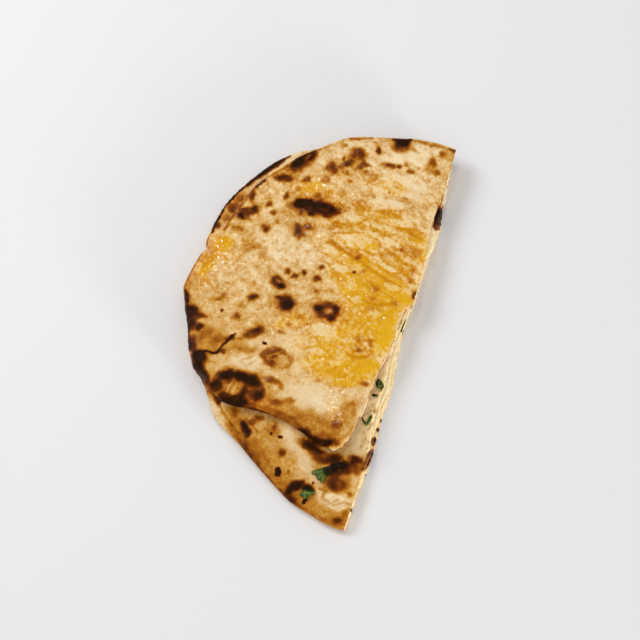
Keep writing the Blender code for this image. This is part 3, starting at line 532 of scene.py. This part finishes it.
class Nodes:
    """A short way to add and join the nodes of one material or group."""

    def __init__(self, tree):
        self.tree = tree

    def fill(self, node, inputs):
        """Join each of these inputs to another node's output, or set it to a plain value."""
        for key, value in inputs.items():
            if isinstance(value, bpy.types.NodeSocket):
                self.tree.links.new(value, node.inputs[key])
            else:
                node.inputs[key].default_value = value
        return node

    def add(self, kind, inputs=None, **settings):
        node = self.tree.nodes.new(kind)
        for key, value in settings.items():
            setattr(node, key, value)
        return self.fill(node, inputs or {})

    def place(self):
        """The object's own coordinates, in metres."""
        return self.add("ShaderNodeTexCoord").outputs["Object"]

    def math(self, operation, first, second, third=0.0, clamp=False):
        node = self.add("ShaderNodeMath", {0: first, 1: second, 2: third},
                        operation=operation, use_clamp=clamp)
        return node.outputs[0]

    def times(self, value, factor, plus=0.0, clamp=False):
        """The value times the factor, with something added."""
        return self.math("MULTIPLY_ADD", value, factor, plus, clamp)

    def step(self, value, low, high):
        node = self.add("ShaderNodeMapRange", {"Value": value, "From Min": low, "From Max": high},
                        interpolation_type="SMOOTHSTEP")
        return node.outputs["Result"]

    def mix(self, share, first, second, blend="MIX"):
        node = self.add("ShaderNodeMix", {0: share, 6: first, 7: second},
                        data_type="RGBA", blend_type=blend, clamp_factor=True)
        return node.outputs[2]

    def ramp(self, value, stops):
        node = self.add("ShaderNodeValToRGB", {"Fac": value})
        while len(node.color_ramp.elements) > 1:
            node.color_ramp.elements.remove(node.color_ramp.elements[-1])
        node.color_ramp.elements[0].position = stops[0][0]
        node.color_ramp.elements[0].color = stops[0][1]
        for place, colour in stops[1:]:
            node.color_ramp.elements.new(place).color = colour
        return node.outputs["Color"]

    def noise(self, vector, size, detail=2.0, roughness=0.5, distortion=0.0):
        node = self.add("ShaderNodeTexNoise", {
            "Vector": vector, "Scale": 1 / size, "Detail": detail, "Roughness": roughness,
            "Distortion": distortion})
        return node.outputs["Fac"]

    def bump(self, height, strength, distance):
        node = self.add("ShaderNodeBump", {"Height": height, "Strength": strength, "Distance": distance})
        return node.outputs["Normal"]

    def attribute(self, name):
        return self.add("ShaderNodeAttribute", attribute_name=name).outputs["Fac"]

    def group(self, tree, inputs):
        return self.add("ShaderNodeGroup", inputs, node_tree=tree).outputs


def new_material(name):
    """An empty material, with the means to add nodes to it and its surface shader."""
    material = bpy.data.materials.new(name)
    material.use_nodes = True
    return material, Nodes(material.node_tree), material.node_tree.nodes["Principled BSDF"]


def new_group(name, inputs, outputs):
    """An empty shader group that takes a vector and these numbers, and gives these numbers."""
    tree = bpy.data.node_groups.new(name, "ShaderNodeTree")
    tree.interface.new_socket("Vector", in_out="INPUT", socket_type="NodeSocketVector")
    for label in inputs:
        tree.interface.new_socket(label, in_out="INPUT", socket_type="NodeSocketFloat")
    for label in outputs:
        tree.interface.new_socket(label, in_out="OUTPUT", socket_type="NodeSocketFloat")
    make = Nodes(tree)
    return make, make.add("NodeGroupInput").outputs, make.add("NodeGroupOutput")


def mottling_group():
    """Uneven patches of three sizes, centred on 0: broad, middling and fine."""
    make, given, result = new_group("mottling", ("Size",), ("Broad", "Middle", "Fine"))
    for label, share, offset in (("Broad", 1.0, 0.0), ("Middle", 0.40, 0.37), ("Fine", 0.12, 0.71)):
        density = make.math("DIVIDE", 1.0, make.times(given["Size"], share))
        place = make.add("ShaderNodeVectorMath", {
            0: given["Vector"], 1: (offset, offset / 2, 0)}, operation="ADD").outputs[0]
        patch = make.add("ShaderNodeTexNoise", {
            "Vector": place, "Scale": density, "Detail": 1, "Roughness": 0.55})
        make.fill(result, {label: make.times(patch.outputs["Fac"], 2.0, -1.0)})
    return make.tree


def pore_group():
    """Round pores of uneven size: 1 in a pore and 0 between them."""
    make, given, result = new_group("pores", ("Size", "Share"), ("Pore",))
    density = make.math("DIVIDE", 1.0, given["Size"])
    cells = make.add("ShaderNodeTexVoronoi", {"Vector": given["Vector"], "Scale": density})
    patch = make.add("ShaderNodeTexNoise", {"Vector": given["Vector"], "Scale": make.times(density, 0.4)})
    reach = make.times(patch.outputs["Fac"], given["Share"])
    pore = make.step(cells.outputs["Distance"], reach, make.times(reach, 0.4))
    make.fill(result, {"Pore": pore})
    return make.tree


MOTTLING = mottling_group()
PORES = pore_group()

# Dough as it bakes, from pale over golden and brown to burnt; its browns also make the painted shade.
BAKED = (
    (0.00, seen(237, 212, 165)), (0.12, seen(226, 191, 134)), (0.24, seen(211, 165, 96)),
    (0.36, seen(196, 139, 54)), (0.48, seen(172, 105, 24)), (0.60, seen(138, 72, 12)),
    (0.72, seen(100, 46, 7)), (0.84, seen(74, 32, 4)), (0.94, seen(52, 20, 2)), (1.00, seen(36, 13, 1)),
)
BUTTER_TINT = (0.89, 0.60, 0.012, 1)


def dough_tone(make, spots, heat_and_shade, butter, flour_and_light, crest):
    """How far each place is baked, plus where it is darkened as painted shade, uneven where neither flour
    nor butter covers it, and its colour, paler under flour and under painted light.
    """
    unrest = make.times(spots["Middle"], 0.16, make.times(spots["Broad"], 0.12))
    speckle = make.times(heat_and_shade, -0.30, 0.20, clamp=True)
    unrest = make.times(spots["Fine"], speckle, unrest)
    covered = make.math("MAXIMUM", make.times(flour_and_light, 0.5), make.times(butter, 0.7))
    calm = make.math("SUBTRACT", 1.0, covered, clamp=True)
    baked_shaded_and_lit = make.times(unrest, calm, make.times(heat_and_shade, 0.84, 0.205))
    baked_shaded_and_lit = make.times(flour_and_light, -0.20, baked_shaded_and_lit)
    baked_shaded_and_lit = make.times(make.math("MINIMUM", butter, 0.8), -0.17, baked_shaded_and_lit)
    plain = make.times(butter, -0.20, make.times(heat_and_shade, -0.75, 1.0), clamp=True)
    crested = make.times(make.math("SUBTRACT", crest, 0.5), plain)
    baked_shaded_and_lit = make.times(crested, -0.36, baked_shaded_and_lit)
    # flour and painted light both mix in the pale dough colour
    dusted_and_lit = make.times(make.step(baked_shaded_and_lit, 0.4, 0.1), make.times(flour_and_light, 0.6))
    return baked_shaded_and_lit, make.mix(dusted_and_lit, make.ramp(baked_shaded_and_lit, BAKED), seen(238, 214, 174))


def soaked_butter(make, place, spots, butter, crest):
    """How much butter has soaked in: it lies in slanting strokes and pools between the bumps."""
    strokes = make.add("ShaderNodeMapping", {
        "Vector": place, "Rotation": (0, 0, STROKES), "Scale": (0.34, 1.0, 1.0)}).outputs[0]
    brushed = make.noise(strokes, 0.0042, detail=3, roughness=0.6, distortion=0.5)
    wet = make.times(crest, -1.1, make.times(brushed, 0.6, butter))
    wet = make.times(spots["Fine"], 0.70, wet)
    soaked = make.times(make.step(wet, -0.30, 0.80), 0.78, 0.22)
    return make.times(soaked, make.step(butter, 0.02, 0.35))


def crust_material():
    """Blistered crust: dough that bakes through gold and brown to black, butter, flour and cut crumb,
    with painted shade and painted light in a few places.
    """
    material, make, shader = new_material("baked_crust")
    place = make.place()
    spots = make.group(MOTTLING, {"Vector": place, "Size": 0.011})
    heat_and_shade, butter = make.attribute("scorch_and_shade"), make.attribute("butter")
    flour_and_light, crumb_and_light, crest = make.attribute("flour_and_light"), make.attribute("crumb_and_light"), make.attribute("crest")
    baked_shaded_and_lit, colour = dough_tone(make, spots, heat_and_shade, butter, flour_and_light, crest)
    soaked = soaked_butter(make, place, spots, butter, crest)
    colour = make.mix(soaked, colour, make.mix(1.0, colour, BUTTER_TINT, blend="MULTIPLY"))

    # the torn or cut inside of the bread, browned where the cut was toasted, and on the upper flap's cut
    # face and at one place on the lower cut darkened as painted shade
    pores = make.group(PORES, {"Vector": place, "Size": 0.0021, "Share": 0.7})["Pore"]
    crumbly = make.times(pores, -0.5, make.times(spots["Middle"], 0.3, 0.6))
    inside = make.ramp(crumbly, (
        (0.0, seen(198, 148, 80)), (0.5, seen(234, 202, 142)), (1.0, seen(248, 230, 190))))
    unscorched_unshaded = make.step(heat_and_shade, 0.62, 0.36)
    colour = make.mix(make.times(crumb_and_light, unscorched_unshaded), colour, inside)

    # butter makes the crust smoother and glossy, in small uneven glints
    shine = make.noise(place, 0.0016)
    dry = make.times(shine, 0.30, 0.36)
    rough = make.times(soaked, -0.26, dry)
    rough = make.times(crumb_and_light, 0.22, rough, clamp=True)
    oily = make.times(butter, 0.42, 0.05)
    bright = make.times(make.step(baked_shaded_and_lit, 1.05, 0.55), 0.7, 0.3)
    glaze = make.times(make.times(oily, make.step(shine, 0.34, 0.62)), bright)

    grain = make.noise(place, 0.0009, detail=3, roughness=0.6)
    lumps = make.noise(place, 0.0028)
    height = make.times(lumps, 1.6, grain)
    height = make.times(pores, make.times(crumb_and_light, -1.6), height)
    height = make.times(height, make.times(heat_and_shade, 0.4, 0.6, clamp=True))
    make.fill(shader, {
        "Base Color": colour, "Roughness": rough, "Normal": make.bump(height, 0.8, 0.3 * MM),
        "Coat Weight": glaze, "Coat Roughness": 0.09, "IOR": 1.42,
        "Specular IOR Level": 0.10, "Specular Tint": (1.0, 0.80, 0.52, 1)})
    return material


def cheese_material():
    """Melted white cheese: creamy, faintly mottled and wet, browned where the oven reached it, and at one
    place of the lower cut darkened as painted shade.
    """
    material, make, shader = new_material("melted_cheese")
    spots = make.group(MOTTLING, {"Vector": make.place(), "Size": 0.006})
    broad = make.times(spots["Broad"], 0.35, 0.5)
    shade = make.times(spots["Middle"], 0.35, broad)
    colour = make.ramp(shade, (
        (0.0, seen(236, 196, 130)), (0.45, seen(250, 224, 172)), (1.0, seen(254, 238, 204))))
    # the scorch also holds painted shade at one place of the lower cut, in the same browns
    scorch_and_shade = make.times(spots["Middle"], 0.3, make.attribute("scorch_and_shade"))
    colour = make.mix(make.step(scorch_and_shade, 0.35, 0.65), colour, seen(176, 108, 36))
    colour = make.mix(make.step(scorch_and_shade, 0.60, 0.95), colour, seen(54, 24, 6))
    make.fill(shader, {
        "Base Color": colour, "Roughness": make.times(spots["Fine"], 0.12, 0.32),
        "Normal": make.bump(spots["Middle"], 0.5, 0.3 * MM), "Coat Weight": 0.2, "Coat Roughness": 0.15,
        "Subsurface Weight": 0.25, "Subsurface Radius": (0.004, 0.0025, 0.0012), "Subsurface Scale": 0.6})
    return material


def leaf_material(name, fresh, deep, burnt):
    """A herb leaf: paler veins, uneven green and edges that the heat has darkened."""
    material, make, shader = new_material(name)
    spots = make.group(MOTTLING, {"Vector": make.place(), "Size": 0.005})
    broad = make.times(spots["Broad"], 0.5, 0.5)
    shade = make.times(spots["Middle"], 0.6, broad)
    colour = make.mix(shade, fresh, deep)
    colour = make.mix(make.times(make.attribute("vein"), 0.5), colour, seen(150, 152, 80))
    burn = make.times(spots["Middle"], 0.3, make.attribute("burn"))
    colour = make.mix(make.step(burn, 0.20, 0.85), colour, burnt)
    make.fill(shader, {
        "Base Color": colour, "Roughness": make.times(spots["Fine"], 0.15, 0.42),
        "Normal": make.bump(spots["Fine"], 0.5, 0.2 * MM),
        "Specular IOR Level": 0.08, "Specular Tint": (1.0, 0.85, 0.6, 1)})
    return material


# ---------------- crust

def depth_inside(piece):
    """How far in from the nearest opening each face of the pockets and of the fold's gap lies."""
    mesh = piece.data
    centre, normal = read(mesh.polygons, "center"), read(mesh.polygons, "normal")
    tree = BVHTree.FromObject(piece, bpy.context.evaluated_depsgraph_get())
    start = centre + normal * CRUST_VOXEL / 2
    covered = np.array([tree.ray_cast(point, way, FACING_WALL)[0] is not None
                        for point, way in zip(start.tolist(), normal.tolist())])
    edge = ~covered & (np.abs(normal[:, 2]) < 0.5)
    places = centre[edge][::3]  # every third is near enough
    nearest = KDTree(len(places))
    for index, place in enumerate(places):
        nearest.insert(place, index)
    nearest.balance()
    gap = np.zeros(len(centre))
    for index in np.flatnonzero(covered):
        gap[index] = nearest.find(centre[index])[2]
    return gap


def smooth_flats(piece):
    """Round off the facets of the broad faces, and leave the rims and the cut crisp."""
    facing = np.abs(read(piece.data.vertices, "normal")[:, 2])
    group = piece.vertex_groups.new(name="broad_faces")
    levels = 8
    nearest_level = np.ceil(smoothstep(0.80, 0.97, facing) * levels - 0.5)
    for level in range(1, levels + 1):
        group.add(np.flatnonzero(nearest_level == level).tolist(), level / levels, "REPLACE")
    apply_modifier(piece, "SMOOTH", factor=0.5, iterations=45, vertex_group="broad_faces")
    apply_modifier(piece, "SMOOTH", factor=0.5, iterations=3)
    piece.vertex_groups.clear()


def on_upper_flap(points):
    """Whether each point is the upper flap's: above the lower one, and within its near rim and cut."""
    plan = points[:, :2] / MM
    rim_x, rim_y = zip(*UPPER_NEAR_RIM)
    cut_x, cut_y = zip(*reversed(UPPER_CUT))
    upper = points[:, 2] > LOWER_TOP
    upper &= plan[:, 1] > np.interp(plan[:, 0], rim_x, rim_y) - RIM_SLACK
    upper &= plan[:, 0] < np.interp(plan[:, 1], cut_y, cut_x) + RIM_SLACK
    return upper


def turned_down(normals):
    """1 where the crust faces the table and 0 where it faces up."""
    return smoothstep(-0.15, -0.75, normals[:, 2])


def crust_heat_and_shade(points, normals, pixels, upper, ragged):
    """How far each point is scorched, from the spots and bands where the photograph shows it, and where
    it is darkened as painted shade.
    """
    on_upper = np.hypot(oval_cover(pixels, UPPER_SPOTS, ragged), band_cover(pixels, UPPER_BANDS_AND_SHADE, ragged))
    on_lower = np.hypot(oval_cover(pixels, LOWER_SPOTS_AND_SHADE, ragged), band_cover(pixels, LOWER_BANDS, ragged))
    fold = ~upper & (points[:, 0] / MM < FOLD_EDGE)
    heat_and_shade = np.where(upper, on_upper, np.where(fold, np.maximum(on_upper, on_lower), on_lower))
    heat_and_shade = np.minimum(heat_and_shade, 1) * (1 - np.minimum(oval_cover(pixels, COOLER_AND_HIGHLIGHT_SPOTS), 1))
    heat_and_shade = np.maximum(heat_and_shade ** 1.4, seed_domes(pixels) > 0.35)
    # painted shade: the upper flap's cut face gets a toasted tone that stands in for the shade along its
    # edge
    at_cut = upper * smoothstep(0.5, 0.8, normals @ CUT_DIRECTION)
    heat_and_shade = np.maximum(heat_and_shade, at_cut * (0.46 + 0.2 * ragged))

    # the underside and the far rims, which the photograph hides, have scorched patches of their own
    leopard = value_noise(points, 9 * MM, 21) + 0.6 * value_noise(points, 4 * MM, 22)
    patches = 0.20 + 0.72 * smoothstep(0.30, 1.05, leopard)
    hidden = np.maximum(turned_down(normals), smoothstep(0.02, -0.18, normals @ TOWARDS_CAMERA))
    return heat_and_shade * (1 - hidden) + np.maximum(patches, 0.4 * heat_and_shade) * hidden


def crust_fields(points, normals):
    """Pixel place, side, heat with painted shade, butter, flour with painted light, and crumb with
    painted light of every point of the crust.
    """
    wobble = noise_pair(points, 5 * MM, (11, 12))
    ripple = noise_pair(points, 1.8 * MM, (13, 14))
    pixels = photo_pixels(points) + 1.0 * wobble + 0.5 * ripple
    ragged = 0.9 * value_noise(points, 2.8 * MM, 15) + 0.5 * value_noise(points, 1.3 * MM, 16)
    upper = on_upper_flap(points)
    heat_and_shade = crust_heat_and_shade(points, normals, pixels, upper, ragged)

    turned_up = 1 - turned_down(normals)
    butter = np.minimum(oval_cover(pixels, BUTTERED), 1.8) * upper * turned_up
    flour_and_light = np.minimum(oval_cover(pixels, FLOURY_AND_LIT), 1) * turned_up
    plan = points[:, :2] / MM
    from_cut = np.minimum(line_distance(plan, UPPER_CUT), line_distance(plan, LOWER_CUT))
    crumb_and_light = smoothstep(0.70, 0.92, normals @ CUT_DIRECTION) * smoothstep(5, 2.5, from_cut)
    # the inner face beside the lower cut takes the pale crumb colour, partly as painted light
    crumb_and_light = np.maximum(crumb_and_light, band_cover(pixels, CRUMBLY_AND_LIT, ragged) * ~upper * turned_up)
    return pixels, upper, heat_and_shade, butter, flour_and_light, crumb_and_light


def crust_crests(points, pixels, butter):
    """Fine crests, 0 in a dip and 1 on a crest: slanting wrinkles, lumps, plates and creases."""
    along = points[:, 0] * math.cos(STROKES) - points[:, 1] * math.sin(STROKES)
    across = points[:, 1] * math.cos(STROKES) + points[:, 0] * math.sin(STROKES)
    stroke = np.stack((along / 2.8, across, points[:, 2]), axis=1)
    wrinkle = 1.2 * value_noise(stroke, 1.9 * MM, 34) + 0.9 * value_noise(points, 1.1 * MM, 39)
    lump = 1.1 * value_noise(points, 1.8 * MM, 38) + 1.0 * value_noise(points, 1.05 * MM, 40)
    torn = 0.22 * value_noise(points, 3.5 * MM, 45) + 0.20 * value_noise(points, 1.4 * MM, 46)
    # wrinkles at the photograph's upper right and lumps elsewhere, both shallow on its dry lower half
    wrinkled = smoothstep(320, 260, pixels[:, 1]) * smoothstep(300, 345, pixels[:, 0])
    rough = 0.30 + 0.70 * np.maximum(smoothstep(0.1, 0.6, butter), smoothstep(350, 290, pixels[:, 1]))
    crest = 0.5 + rough * (0.40 * wrinkled * wrinkle + 0.27 * (1 - wrinkled) * lump)
    for plate in PLATES:
        reach = oval_reach(pixels, *plate) + torn
        crest += 0.36 * smoothstep(1.3, 0.6, reach) - 0.16 * smoothstep(0.35, 0.0, np.abs(reach - 1.3))
    for line, half_width, depth in CREASES:
        crest -= 2.2 * depth * smoothstep(1.3, 0.2, line_distance(pixels, line) / half_width)
    return np.clip(crest, 0, 1)


def crust_relief(points, pixels, heat_and_shade, butter, crumb_and_light, crest, normals):
    """How far each point of the crust stands out, in metres."""
    rise = 0.22 * value_noise(points, 13 * MM, 31) + 0.19 * value_noise(points, 5.5 * MM, 32)
    rise += (0.24 + 0.16 * butter) * (crest - 0.5) * (1 - 0.6 * heat_and_shade)
    burnt = smoothstep(0.5, 0.95, heat_and_shade)
    rise += burnt * (0.22 + 0.22 * value_noise(points, 1.7 * MM, 35))
    blistered = smoothstep(0.25, 0.6, heat_and_shade) * (1 - burnt)
    rise += 0.12 * blistered
    for line, half_width, depth in CREASES:
        rise -= depth * smoothstep(1.6, 0.0, line_distance(pixels, line) / half_width)
    rise += 0.55 * seed_domes(pixels)
    pores = smoothstep(0.25, 0.7, value_noise(points, 1.9 * MM, 36))
    pores *= smoothstep(0.3, 0.7, normals @ CUT_DIRECTION)
    torn = 0.40 * value_noise(points, 2.4 * MM, 37) + 0.25 * value_noise(points, 1.2 * MM, 47)
    rise = rise * (1 - crumb_and_light) + crumb_and_light * (torn - 0.45 * pores)
    facing_down = smoothstep(-0.3, -0.9, normals[:, 2])
    return rise * (1 - 0.75 * facing_down) * MM


def make_crust():
    """The whole bread: remeshed, thinned where no one sees it, with relief and values for its colours."""
    piece = copy_node("bread", "naan_crust")
    apply_modifier(piece, "REMESH", mode="VOXEL", voxel_size=CRUST_VOXEL, use_smooth_shade=True)
    smooth_flats(piece)
    gap = depth_inside(piece)
    keep_value(piece, "inside", gap, "FACE")
    thin_faces(piece, gap > OPEN_MARGIN, HIDDEN_KEPT)
    gap = read(piece.data.attributes["inside"].data, "value", 1)
    thin_faces(piece, (gap > SHADED_MARGIN) & (gap < OPEN_MARGIN), SHADED_KEPT)
    piece.data.attributes.remove(piece.data.attributes["inside"])
    underside = read(piece.data.polygons, "normal")[:, 2] < -0.9
    underside &= read(piece.data.polygons, "center")[:, 2] < UNDERSIDE_TOP
    thin_faces(piece, underside, UNDERSIDE_KEPT)

    points, normals = read(piece.data.vertices, "co"), read(piece.data.vertices, "normal")
    pixels, upper, heat_and_shade, butter, flour_and_light, crumb_and_light = crust_fields(points, normals)
    crest = crust_crests(points, pixels, butter)
    rise = crust_relief(points, pixels, heat_and_shade, butter, crumb_and_light, crest, normals)
    move_points(piece, points + normals * rise[:, None] + cut_shift(pixels, upper))
    fields = {"scorch_and_shade": heat_and_shade, "butter": butter, "flour_and_light": flour_and_light, "crumb_and_light": crumb_and_light, "crest": crest}
    for name, values in fields.items():
        keep_value(piece, name, values)
    finish_piece(piece, "bread", crust_material())


# ---------------- cheese

def make_cheese(node, name, cut, bulge, material):
    """One flap's melted filling: lumpy and stringy at the cut, plain inside."""
    piece = copy_node(node, name)
    apply_modifier(piece, "REMESH", mode="VOXEL", voxel_size=CHEESE_VOXEL, use_smooth_shade=True)
    apply_modifier(piece, "SMOOTH", factor=0.5, iterations=4)
    centre = read(piece.data.polygons, "center")
    thin_faces(piece, line_distance(centre[:, :2] / MM, cut) > CHEESE_SEEN, CHEESE_KEPT)
    points, normals = read(piece.data.vertices, "co"), read(piece.data.vertices, "normal")
    near = smoothstep(7, 2, line_distance(points[:, :2] / MM, cut))
    lumps = 0.45 * value_noise(points, 4 * MM, 41) + 0.22 * value_noise(points, 1.8 * MM, 42)
    outward = np.clip(normals @ CUT_DIRECTION, 0, 1)
    points = points + normals * (0.12 * lumps * near * MM)[:, None]
    pixels = photo_pixels(points)
    oozing = bulge + 1.2 * lumps + oval_cover(pixels, OOZED)
    points = points + CUT_DIRECTION * (near * outward * oozing * MM)[:, None]
    move_points(piece, points + cut_shift(pixels, points[:, 2] > LOWER_TOP))
    keep_value(piece, "scorch_and_shade", np.minimum(oval_cover(pixels, LOWER_SPOTS_AND_SHADE), 1))
    finish_piece(piece, node, material)


# ---------------- leaves

LEAVES = (
    ("leaf_large", "coriander_leaf_large", "fresh_herb"),
    ("leaf_charred", "coriander_leaf_charred", "dark_herb"),
    ("leaf_small", "coriander_leaf_small", "fresh_herb"),
    ("leaf_cut_folded", "coriander_leaf_folded", "dark_herb"),
    ("leaf_cut_fleck", "coriander_fleck", "dark_herb"),
    ("leaf_cut_curved", "coriander_leaf_curved", "fresh_herb"),
    ("leaf_cut_thin", "coriander_stem_thin", "dark_herb"),
)


def make_leaf(node, name, material, seed):
    """A leaf worked up from its CAD solid: finer, crimped at the rim, with veins and burnt parts."""
    piece = copy_node(node, name)
    apply_modifier(piece, "SUBSURF", levels=1, render_levels=1, subdivision_type="SIMPLE")
    apply_modifier(piece, "SUBSURF", levels=2, render_levels=2)
    points = read(piece.data.vertices, "co")
    pixels = photo_pixels(points)
    nearest = np.min([line_distance(pixels, line) for line in VEINS], axis=0)
    vein = smoothstep(0.9, 0.1, nearest)
    crimp = value_noise(points, 1.6 * MM, 60 + seed)
    points[:, 2] += MM * (0.10 * smoothstep(2.0, 0.0, nearest) + 0.16 * crimp)
    points[:, :2] += 0.10 * MM * noise_pair(points, 1.1 * MM, (70 + seed, 79 + seed))
    move_points(piece, points)
    keep_value(piece, "vein", vein)
    keep_value(piece, "burn", np.minimum(oval_cover(pixels, BURNT_LEAVES), 1))
    finish_piece(piece, node, material)


# ---------------- stage

def make_floor():
    """The plain pale floor that the naan stands on."""
    bpy.ops.object.select_all(action="DESELECT")
    bpy.ops.mesh.primitive_plane_add(size=4, location=(0, 0, 0))
    floor = bpy.context.active_object
    floor.name = "floor"
    material, make, shader = new_material("pale_floor")
    make.fill(shader, {"Base Color": seen(230, 230, 230), "Roughness": 0.75, "IOR": 1.3})
    floor.data.materials.append(material)


def add_light(name, place, size, power):
    """A round area light that points at the naan."""
    light = bpy.data.lights.new(name, "AREA")
    light.shape = "DISK"
    light.size = size
    light.energy = power
    lamp = bpy.data.objects.new(name, light)
    scene.collection.objects.link(lamp)
    lamp.location = place
    lamp.rotation_euler = (-Vector(place)).to_track_quat("-Z", "Y").to_euler()


def make_lights():
    """Soft daylight from the upper left, a low light on the cut side and a small one for the glints."""
    add_light("window", (-0.90, 0.56, 1.00), 0.7, 10.6)
    add_light("low_fill", (0.90, -0.95, 0.18), 0.32, 12)
    add_light("glint", (-0.12, 0.56, 1.30), 0.12, 1.7)
    world = bpy.data.worlds.new("studio")
    world.use_nodes = True
    background = world.node_tree.nodes["Background"]
    Nodes(world.node_tree).fill(background, {"Color": (1, 1, 1, 1), "Strength": 0.54})
    scene.world = world
    scene.view_settings.view_transform = "Standard"


def make_camera():
    """The photograph's camera."""
    camera = bpy.data.objects.new("camera", bpy.data.cameras.new("camera"))
    scene.collection.objects.link(camera)
    away = Vector(TOWARDS_CAMERA)
    camera.location = AIM + away * CAMERA_DISTANCE
    camera.rotation_euler = (-away).to_track_quat("-Z", "Y").to_euler()
    camera.data.sensor_width = SENSOR
    camera.data.lens = SENSOR * CAMERA_DISTANCE / VIEW_WIDTH
    camera.data.clip_start = 0.01
    scene.camera = camera


make_camera()
make_lights()
make_floor()
make_crust()
CHEESE = cheese_material()
make_cheese("cheese_upper", "melted_cheese_upper", UPPER_CUT, 0.0, CHEESE)
make_cheese("cheese_lower", "melted_cheese_lower", LOWER_CUT, 0.1, CHEESE)
HERB = {
    "fresh_herb": leaf_material("fresh_herb", seen(84, 106, 44), seen(44, 62, 24), seen(26, 20, 8)),
    "dark_herb": leaf_material("dark_herb", seen(84, 90, 34), seen(44, 48, 18), seen(22, 16, 7)),
}
for order, (node, name, slot) in enumerate(LEAVES):
    make_leaf(node, name, HERB[slot], order)
